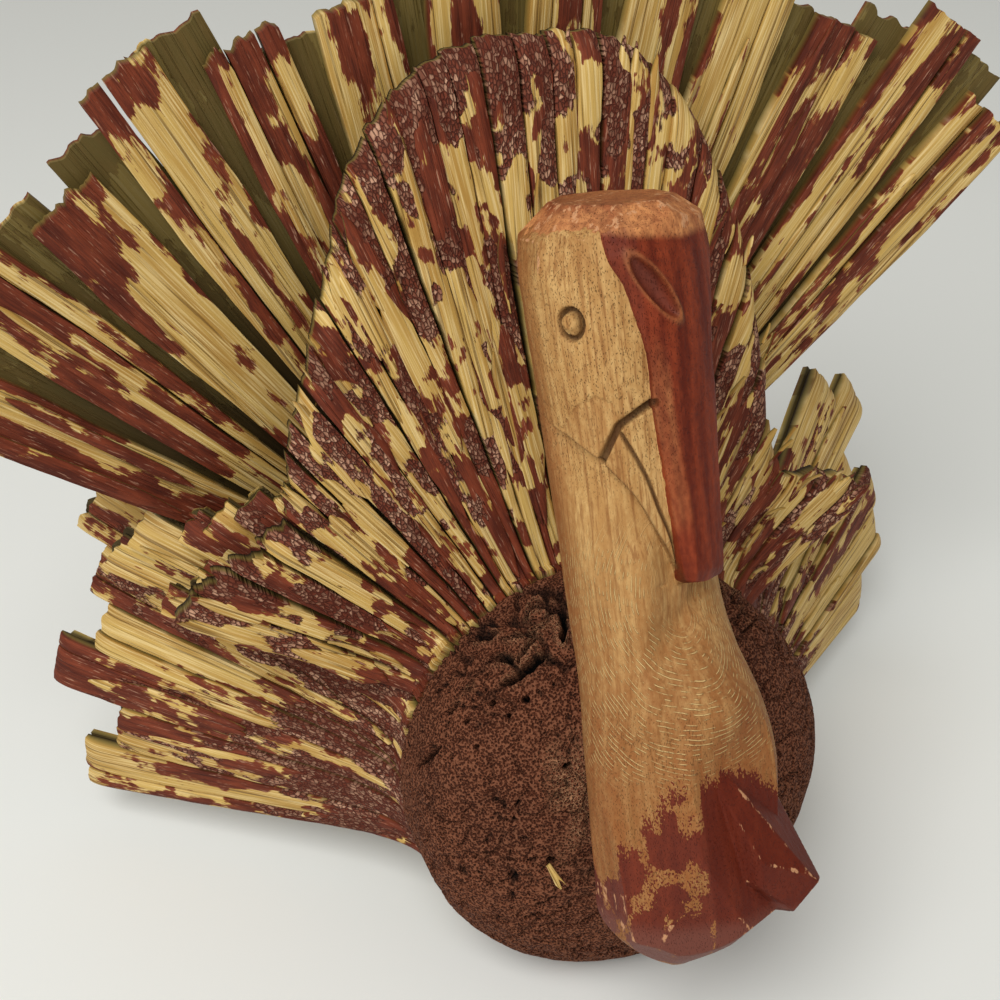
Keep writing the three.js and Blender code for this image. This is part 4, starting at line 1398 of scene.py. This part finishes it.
# %% Jaw, mouth and cheek
JAW = (
    (-150, 129), (-110, 123.4), (-94, 120.8), (-83, 118.5), (-74, 116.4), (-64, 112.4), (-55, 109),
    (-48, 105.1), (-41, 100.9), (-32, 96.2), (-25, 92.7), (-20, 88),
)
MOUTH = ((-33, 126.8), (-44, 125.5), (-57, 123.6), (-60, 122.9), (-67, 119.7), (-74, 116.4))
CHEEK = ((-101, 123.1), (-85, 128.1), (-71, 129.9), (-61, 128.2), (-58, 123.6))
NECK_RECESS = 2.2
MOUTH_DEPTH = 1.6
CHEEK_DEPTH = 0.5

jaw_side = np.where(height < level_of(mirrored, JAW), 1, -1) * from_skin_line(mirrored, JAW)
under_jaw = rise(jaw_side, -0.1, 0.35) * (1 - rise(jaw_side, 2, 20)) * rise(mirrored, -125, -98)
mouth_cut = 1 - rise(from_skin_line(mirrored, MOUTH), 0.55, 1.0)
cheek_low = rise(level_of(mirrored, CHEEK) - height, 0.0, 0.5) * rise(-jaw_side, -0.2, 0.2)
cheek_low = cheek_low * rise(mirrored, -57, -60) * rise(mirrored, -103, -99)
head_radius = head_radius - NECK_RECESS * under_jaw - MOUTH_DEPTH * mouth_cut - CHEEK_DEPTH * cheek_low
print("jaw points", len(JAW))

# %% Snood and beak gap
SNOOD_EDGE = (
    (87, -23), (90, -23.5), (96, -25.5), (107, -29), (117, -32.5), (127.5, -35), (133.5, -34.5),
    (138.5, -36.5), (143.5, -40.5), (150.4, -46), (155, -53), (160, -56), (169, -60),
)
SNOOD_HEIGHT = ((87, 4.3), (89.6, 4.3), (108, 4.2), (133.5, 2.9), (149.6, 1.8), (163, 0.5), (169, 0.0))
SNOOD_FLANK = ((88, 2.2), (100, 3.6), (120, 4.2), (155, 5.0))
SNOOD_TIP = 87.6
BEAK_GAP = ((-58, 121.4), (-51, 117), (-43, 111.5), (-36, 104.8), (-30, 100.7), (-26, 97), (-23, 92))
BEAK_GAP_DEPTH = 0.9

snood_in = np.radians(-through(height, *np.array(SNOOD_EDGE).T) - np.abs(turn)) * SKIN_RADIUS
snood_height = np.interp(height, *np.array(SNOOD_HEIGHT).T)
snood_flank = np.interp(height, *np.array(SNOOD_FLANK).T)
snood_tip = height - SNOOD_TIP + 0.06 * turn
snood_form = 0.35 * rise(snood_in, -0.1, 0.5) + 0.65 * np.clip(snood_in / snood_flank, 0, 1)
snood_rise = rise(snood_tip, -0.6, 0.6) * snood_height * snood_form
snood_rise = snood_rise * (1 - 0.22 * rise(snood_tip, 3.5, 0.0))
beak_cut = (1 - rise(from_skin_line(mirrored, BEAK_GAP), 0.2, 0.6)) * rise(-snood_in, -0.3, 0.2)
head_radius = head_radius + snood_rise - BEAK_GAP_DEPTH * beak_cut
print("snood stands out", round(float(snood_rise.max()), 1), "mm")

# %% Eye, gouge and nick
EYE = (-79, 144)
EYE_HALF_WIDTH = 2.25
EYE_HALF_HEIGHT = 2.95
EYE_DEPTH = 1.6
EYE_BALL = 1.1
GOUGE = (-26, 149)
GOUGE_RUN = (7.9 / 14.45, -12.1 / 14.45)
GOUGE_HALF_LENGTH = 7.4
GOUGE_HALF_WIDTH = 2.1
GOUGE_DEPTH = 2.4
GOUGE_LIP = 0.35
NICK = (-40, 88.5)
NICK_DEPTH = 0.6

eye_across, eye_up = np.radians(mirrored - EYE[0]) * SKIN_RADIUS, height - EYE[1]
eye_ring = np.hypot(eye_across / EYE_HALF_WIDTH, eye_up / EYE_HALF_HEIGHT)
eye_cut = rise(eye_ring, 1.22, 1.06) * rise(eye_ring, 0.66, 0.86)
eye_ball = rise(np.hypot((eye_across - 0.2) / 1.9, (eye_up - 0.4) / 2.0), 1.0, 0.5)
gouge_across, gouge_up = np.radians(turn - GOUGE[0]) * SKIN_RADIUS, height - GOUGE[1]
gouge_along = gouge_across * GOUGE_RUN[0] + gouge_up * GOUGE_RUN[1]
gouge_aside = gouge_up * GOUGE_RUN[0] - gouge_across * GOUGE_RUN[1]
gouge_out = np.hypot(gouge_along / GOUGE_HALF_LENGTH, gouge_aside / GOUGE_HALF_WIDTH)
gouge = np.clip(1 - gouge_out ** 2, 0, 1) ** 0.6
gouge_lip = np.exp(-((gouge_out - 1.12) / 0.14) ** 2)
nick = np.exp(-(np.radians(turn - NICK[0]) * SKIN_RADIUS / 1.6) ** 2 - ((height - NICK[1]) / 0.4) ** 2)
head_radius = head_radius - EYE_DEPTH * eye_cut + EYE_BALL * eye_ball
head_radius = head_radius - GOUGE_DEPTH * gouge + GOUGE_LIP * gouge_lip - NICK_DEPTH * nick
print("eye at", EYE[1], "mm up the carving")

# %% Throat and crop
THROAT = ((-53, 94.2), (-55, 86.9), (-57, 78.6), (-58, 73.9), (-60, 62))
THROAT_RIDGE = 1.8
VALLEY = ((12, 83.5), (-18, 79), (-44, 78), (-53, 75))
VALLEY_DEPTH = 2.0
CROP = (-4.6, 65.0)
CROP_BULGE = 1.4

bulge = CROP_BULGE * np.exp(-((skin_across - CROP[0]) / 8) ** 2 - ((height - CROP[1]) / 9) ** 2)
valley = VALLEY_DEPTH * np.exp(-(from_skin_line(turn, VALLEY) / 4.5) ** 2)
ridge = THROAT_RIDGE * np.exp(-(from_skin_line(turn, THROAT) / 4.0) ** 2)
ripple = 0.5 * mottle(skin_across / 10, height / 16, 1.1)
ripple = ripple + 0.12 * mottle(skin_across / 1.6, height / 3, 2.2)
head_radius = head_radius + bulge - valley + ridge + ripple
print("carving up to", round(float(head_radius.max()), 1), "mm from its axis")

# %% [markdown]
# Facets are planes that shave the points which stand out past them, as a knife would. Each is given by the
# way it faces round the carving, how far it is tipped up, a height on the axis and its distance from there.
# The crown and the foot each have their own set. The blunt lobe of the wattle is a small block of facets
# that stands out of the foot: along each direction from the axis, the nearest of its planes says how far
# the lobe reaches.

# %% Facets
CROWN_FACETS = (
    (0, 85, 140, 25.6), (-150, 50, 140, 27.6), (-108, 48, 140, 27.0), (-66, 50, 140, 26.8),
    (-22, 46, 140, 26.4), (20, 50, 140, 26.6), (62, 48, 140, 26.8), (105, 50, 140, 27.2),
    (150, 48, 140, 27.6), (-80, 12, 140, 21.6), (-112, 10, 140, 21.4), (80, 12, 140, 21.6),
)
BASE_FACETS = (
    (-105, -2, 30, 20.4), (-68, 0, 30, 20.0), (-10, 4, 30, 20.2), (40, -6, 30, 20.2), (85, 0, 30, 20.8),
    (-45, -12, 15, 18.6), (-75, -42, 15, 17.4), (-38, -46, 15, 18.0), (2, -46, 15, 15.5), (45, -44, 15, 13.0),
)
BASE_TOP = 62.0


def past(points, facet):
    """How far points stand out past a plane, and the direction it faces."""
    facing, rising = math.radians(facet[0]), math.radians(facet[1])
    level = math.cos(rising)
    normal = np.array([level * math.sin(facing), -level * math.cos(facing), math.sin(rising)])
    return (points - np.array([0.0, 0.0, facet[2]])) @ normal - facet[3], normal


def edge_nearness(points, facets):
    """1 along the edges where two planes meet, and 0 a millimetre away from them."""
    off = np.sort(np.abs(np.stack([past(points, facet)[0] for facet in facets], -1)), axis=-1)
    return rise(off[..., 1], 0.6, 0.1)


carved = np.stack([head_radius * sine, -head_radius * cosine, height], -1)
for facets, strength in ((CROWN_FACETS, rise(height, BASE_TOP, BASE_TOP + 6)),
                         (BASE_FACETS, rise(height, BASE_TOP + 2, BASE_TOP - 12))):
    for facet in facets:
        out, normal = past(carved, facet)
        carved = carved - (strength * np.maximum(out, 0))[..., None] * normal
print("facets", len(CROWN_FACETS) + len(BASE_FACETS))

# %% Lobe of the wattle
LOBE_FACETS = (
    (-12, 18, 25, 25.3), (27, 30, 25, 23.9), (-29, -11, 25, 22.5), (26, -42, 25, 25.1), (-90, -39, 25, 4.2),
    (-75, -7, 25, 9.8), (72, 4, 25, 17.6), (40, -30, 25, 27.6), (200, 0, 25, 0.0),
)
LOBE_TOP = 54.0
LOBE_REACH = 60.0

reach = np.hypot(carved[..., 0], carved[..., 1])
heading = np.arctan2(carved[..., 0], -carved[..., 1])
far = np.full(reach.shape, 1e9)
near = np.zeros(reach.shape)
for facing, rising, about, distance in LOBE_FACETS:
    toward = math.cos(math.radians(rising)) * np.cos(heading - math.radians(facing))
    left = distance - math.sin(math.radians(rising)) * (carved[..., 2] - about)
    limit = left / np.where(np.abs(toward) < 1e-6, 1e-6, toward)
    far = np.where(toward > 0, np.minimum(far, limit), far)
    near = np.where(toward < 0, np.maximum(near, limit), near)
lobe = (far > reach) & (near < reach) & (far < LOBE_REACH) & (carved[..., 2] < LOBE_TOP)
carved[..., :2] = carved[..., :2] * np.where(lobe, far / reach, 1.0)[..., None]
scuffed = np.where(lobe, edge_nearness(carved, LOBE_FACETS), edge_nearness(carved, BASE_FACETS))
scuffed = np.where(height > BASE_TOP, edge_nearness(carved, CROWN_FACETS), scuffed)
print("points on the lobe", int(lobe.sum()))


# %% Placing the head
def head_to_bundle(points):
    """Turns the head to the side, leans it back and sets it on the front of the breast."""
    x, y, z = np.moveaxis(points, -1, 0)
    cosine, sine = math.cos(HEAD_TURN), math.sin(HEAD_TURN)
    x, y = x * cosine - y * sine, x * sine + y * cosine
    cosine, sine = math.cos(HEAD_LEAN), math.sin(HEAD_LEAN)
    y, z = y * cosine + z * sine, z * cosine - y * sine
    axis = np.array([0.0, sine, cosine])
    foot = np.array([HEAD_OFFSET, -HEAD_AHEAD, 0.0]) - HEAD_LOW * axis
    return np.stack([x, y, z], -1) + foot


seated = head_to_bundle(carved)
dome_out = 1 - (seated[..., 0] ** 2 + seated[..., 2] ** 2) / (BREAST_RADIUS + FIT_GAP) ** 2
dome_front = -(BREAST_BULGE + FIT_GAP) * np.sqrt(np.maximum(dome_out, 0))
seated[..., 1] = np.where(dome_out > 0, np.minimum(seated[..., 1], dome_front), seated[..., 1])
print("head reaches", round(float(stand(seated)[..., 2].max())), "mm above the table")

# %% [markdown]
# The wood is pale with short dark pores. Where the grain turns over the throat, it stands up in fine arcs.
# A thin red wash covers the snood, the crown and the foot. It is worn off along the knife edges and on the
# side of the foot.

# %% Wood colours
WOOD_ORANGE = srgb(142, 85, 43)
WOOD = srgb(178, 132, 77)
WOOD_PALE = srgb(210, 170, 110)
WOOD_STREAK = srgb(140, 92, 48)
WOOD_PORE = srgb(104, 70, 36)
WOOD_ARC = srgb(226, 192, 130)
WOOD_SCUFF = srgb(204, 150, 108)
WASH_DEEP = srgb(90, 28, 12)
WASH_RED = srgb(140, 58, 30)
WASH_THIN = srgb(206, 138, 84)
WASH_DULL = srgb(112, 62, 50)
# A dark brown painted into the grooves as shade.
CUT_DARK = srgb(74, 46, 24)
print("wood colours ready")

# %% Bare wood
wood_finish, wood_shader, start = new_finish("carved_pale_wood")
carve = start.read("carve", output=1)
grainy = carve.stretch(420.0, 420.0, 22.0).noise(3.0)
dashes = carve.stretch(4400.0, 4400.0, 1700.0).noise(1.0).step(0.62, 0.72) * start.read("pored")
dust = carve.stretch(900.0, 900.0, 500.0).noise(3.0)
tone = start.read("tone")
streaks = carve.stretch(1300.0, 1300.0, 60.0).noise(3.0, 0.6)
wood_colour = tone.mix(WOOD_ORANGE, WOOD)
pale_share = (0.7 * grainy + 0.5 * dust - 0.1).step(0.35, 0.8) * (0.3 + 0.7 * tone)
wood_colour = pale_share.mix(wood_colour, WOOD_PALE)
wood_colour = (streaks.step(0.47, 0.68) * 0.75).mix(wood_colour, WOOD_STREAK)
arc_phase = start.read("arc") * 7.0 + 9.0 * carve.stretch(150.0, 150.0, 150.0).noise(3.0)
arc_wave = arc_phase.node("ShaderNodeMath", {"operation": "SINE"}, {0: arc_phase})
arc_breaks = carve.stretch(480.0, 480.0, 480.0).noise(2.0).step(0.44, 0.60)
arcs = arc_wave.step(0.45, 0.95) * arc_breaks * start.read("arced")
wood_colour = (arcs * 0.7).mix(wood_colour, WOOD_ARC)
wood_colour = (dashes * 0.55).mix(wood_colour, WOOD_PORE)
print("bare wood mixed")

# %% Red wash
wash_edge = carve.stretch(500.0, 500.0, 90.0).noise(4.0, 0.6)
flecks = carve.stretch(2300.0, 2300.0, 1500.0).noise(2.0) - 0.5
wash_level = start.read("wash") + 0.34 * (wash_edge - 0.5) + 0.2 * (dust - 0.5)
wash_level = wash_level + start.read("fleck") * flecks
washed = wash_level.step(0.48, 0.52)
# The wash is painted darker low on the foot, as shade under the lobe and on faces turned from the lamp.
wash_body = (0.8 * grainy + 0.4 * dust - 0.1).step(0.3, 0.8) * (1.0 - 0.75 * start.read("deep"))
wash_colour = wash_body.mix(WASH_DEEP, WASH_RED)
# Thin wash on the crown, and painted light on the snood's left flank.
wash_colour = (start.read("thin") * (0.55 + 0.55 * dust.step(0.3, 0.7))).mix(wash_colour, WASH_THIN)
wash_colour = start.read("dull").mix(wash_colour, WASH_DULL)
wash_colour = (dashes * 0.35).mix(wash_colour, WASH_DEEP)
wood_colour = washed.mix(wood_colour, wash_colour)
scuffs = start.read("scuff") + 1.4 * (wash_edge - 0.5) + 0.8 * (dust - 0.5)
wood_colour = (scuffs.step(0.58, 0.70) * 0.8).mix(wood_colour, WOOD_SCUFF)
# Mouth, beak gap, eye ring and the line under the jaw are painted dark as shade.
wood_colour = (start.read("cut") * 0.85).mix(wood_colour, CUT_DARK)
feed(wood_shader, "Base Color", wood_colour)
feed(wood_shader, "Roughness", 0.62 - 0.14 * washed + 0.1 * dust)
wood_shader.inputs["Specular IOR Level"].default_value = 0.16
relief(wood_shader, 0.4 * grainy + 0.3 * dust + 0.5 * arcs - 0.5 * dashes + 0.3, 0.0005)
print("wood finish made")

# %% [markdown]
# The finish reads its amounts from the mesh. So the last step says at each point of the carving how much
# wash lies there, where it is thin, dull or scuffed, and how orange, pored or wavy the bare wood is. It also
# says where shade is painted into the grooves and the foot, and where light is painted on the snood's flank.

# %% Where the wash lies
PAINT_TOP = (
    (-180, 28), (-112, 27.8), (-81, 35.6), (-69, 39.1), (-58, 45.9), (-46, 48.2), (-32, 48.6), (-13, 48.3),
    (8, 43.3), (60, 40), (180, 28),
)
CROWN_EDGE = (
    (-180, 163), (-126, 162.4), (-86, 162.5), (-63, 161.1), (-38, 159.1), (-1, 157.4), (60, 158), (180, 163),
)

snood_wash = (0.5 + np.clip(snood_in * 0.5, -0.5, 0.5)) * rise(snood_tip, -0.8, 0.2)
above_edge = height - level_of(turn, CROWN_EDGE)
crown_wash = 0.5 + 0.05 * np.clip(above_edge, -8, 3) + 0.35 * mottle(skin_across / 7, height / 3, 3.3)
base_line = level_of(turn, PAINT_TOP) - height + 7 * mottle(skin_across / 1.8, height / 20, 4.4)
left_facet = rise(turn, -33, -36) * rise(turn, -120, -110)
base_worn = left_facet * rise(mottle(skin_across / 5, height / 7, 6.6), -0.02, 0.12)
base_wash = np.clip(0.5 + 0.055 * base_line, 0, 0.85) - 0.42 * base_worn
top_wash = np.maximum(snood_wash * rise(above_edge, 2.5, 1.0), crown_wash * rise(height, 140, 150))
wash = np.maximum(top_wash, base_wash)
fleck = np.maximum(left_facet, 0.5) * rise(height, 62, 54)
# Painted shade on the foot: full below 48 mm, less on the left facet that faces the lamp.
deep = rise(height, 58, 48) * (1 - 0.3 * left_facet)
print("share washed", round(float((wash > 0.5).mean()), 2))

# %% Thin, dull and scuffed places, and painted light on the snood's flank
carved_x, carved_y, carved_z = np.moveaxis(carved, -1, 0)
# The snood's left flank gets a lighter streak of thin wash as painted light, where it faces the lamp.
flank_streak = rise(snood_in, 0.0, 0.6) * rise(snood_in, 4.6, 3.0) * (turn < 0)
flank_streak = flank_streak * rise(height, 98, 106) * rise(height, 142, 128)
flank_streak = flank_streak * (0.45 + 0.55 * rise(mottle(snood_in / 2, height / 14, 8.8), -0.04, 0.16))
crown_clouds = 0.95 - 0.5 * rise(carved_z, 163.5, 165.5) + 1.3 * mottle(carved_x / 6, carved_y / 6, 2.7)
crown_thin = crown_clouds * rise(above_edge + np.where(snood_in > 0, 0, 5), -1, 1)
thin = np.clip(crown_thin + 0.38 * flank_streak + 0.3 * gouge_lip, 0, 1)
dull = np.clip(0.8 * rise(carved_z, 18, 13) + 0.6 * gouge + 0.15 * left_facet, 0, 1)
scuff_zone = rise(height, 150, 156) + rise(height, 50, 44) * (lobe | (height < 17))
crown_patches = rise(above_edge, -0.5, 1.0) * rise(mottle(skin_across / 5, height / 4, 9.9), -0.05, 0.15)
foot_edge = rise(turn, -78, -92) * rise(height, 10, 13) * rise(height, 27, 21)
scuff = np.maximum(0.6 * crown_patches, 0.5 * foot_edge)
scuff = np.maximum(scuff, 0.55 * scuffed * np.clip(scuff_zone, 0, 1))
print("share scuffed", round(float((scuff > 0.5).mean()), 3))

# %% Tone, arcs and pores
ARC_MIDDLE = (-6.0, 88.0)

brow = rise(above_edge, 0.5, -1.0) * rise(height, 152, 156) * rise(-snood_in, 0.0, 1.0)
tone = 0.02 + 0.98 * rise(height, 53, 106) + 0.5 * mottle(skin_across / 9, height / 30, 5.1)
tone = (tone - 0.2 * brow - 0.3 * cheek_low) * rise(turn, -128, -92)
tone = np.clip(tone + 0.5 * eye_ball, 0, 1)
arc_distance = np.hypot(skin_across - ARC_MIDDLE[0], (height - ARC_MIDDLE[1]) * 0.9)
arced = rise(arc_distance, 6, 14) * rise(height, 46, 54) * rise(height, 106, 92)
arced = arced * (1 - rise(snood_in, -1, 0.5) * rise(height, 87, 90))
pored = 0.15 + 0.85 * rise(height, 104, 122) * (1 - 0.7 * cheek_low) + 0.6 * rise(height, 68, 58)
# A painted shadow along the step under the jaw.
jaw_line = (1 - rise(np.abs(jaw_side), 0.15, 0.5)) * rise(mirrored, -112, -98)
cut = np.clip(mouth_cut + beak_cut + eye_cut + 0.55 * jaw_line, 0, 1)
print("mean tone", round(float(tone.mean()), 2))

# %% Head piece
head_points = stand(seated).reshape(-1, 3)
bottom_cap = list(range(HEAD_COLUMNS))[::-1]
top_cap = list(range((HEAD_ROWS - 1) * HEAD_COLUMNS, HEAD_ROWS * HEAD_COLUMNS))
head = Shells()
head.add(head_points, grid_faces(HEAD_ROWS, HEAD_COLUMNS, wrap=True).tolist() + [bottom_cap, top_cap],
         carve=carved.reshape(-1, 3) * MM, wash=wash, thin=thin, dull=dull, tone=tone, scuff=scuff, cut=cut,
         arc=arc_distance, arced=arced, pored=pored, fleck=fleck, deep=deep)
head_piece = head.build("carved_head_skin", wood_finish, crease=75)
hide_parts("carved_head")
print("head points", len(head_points))
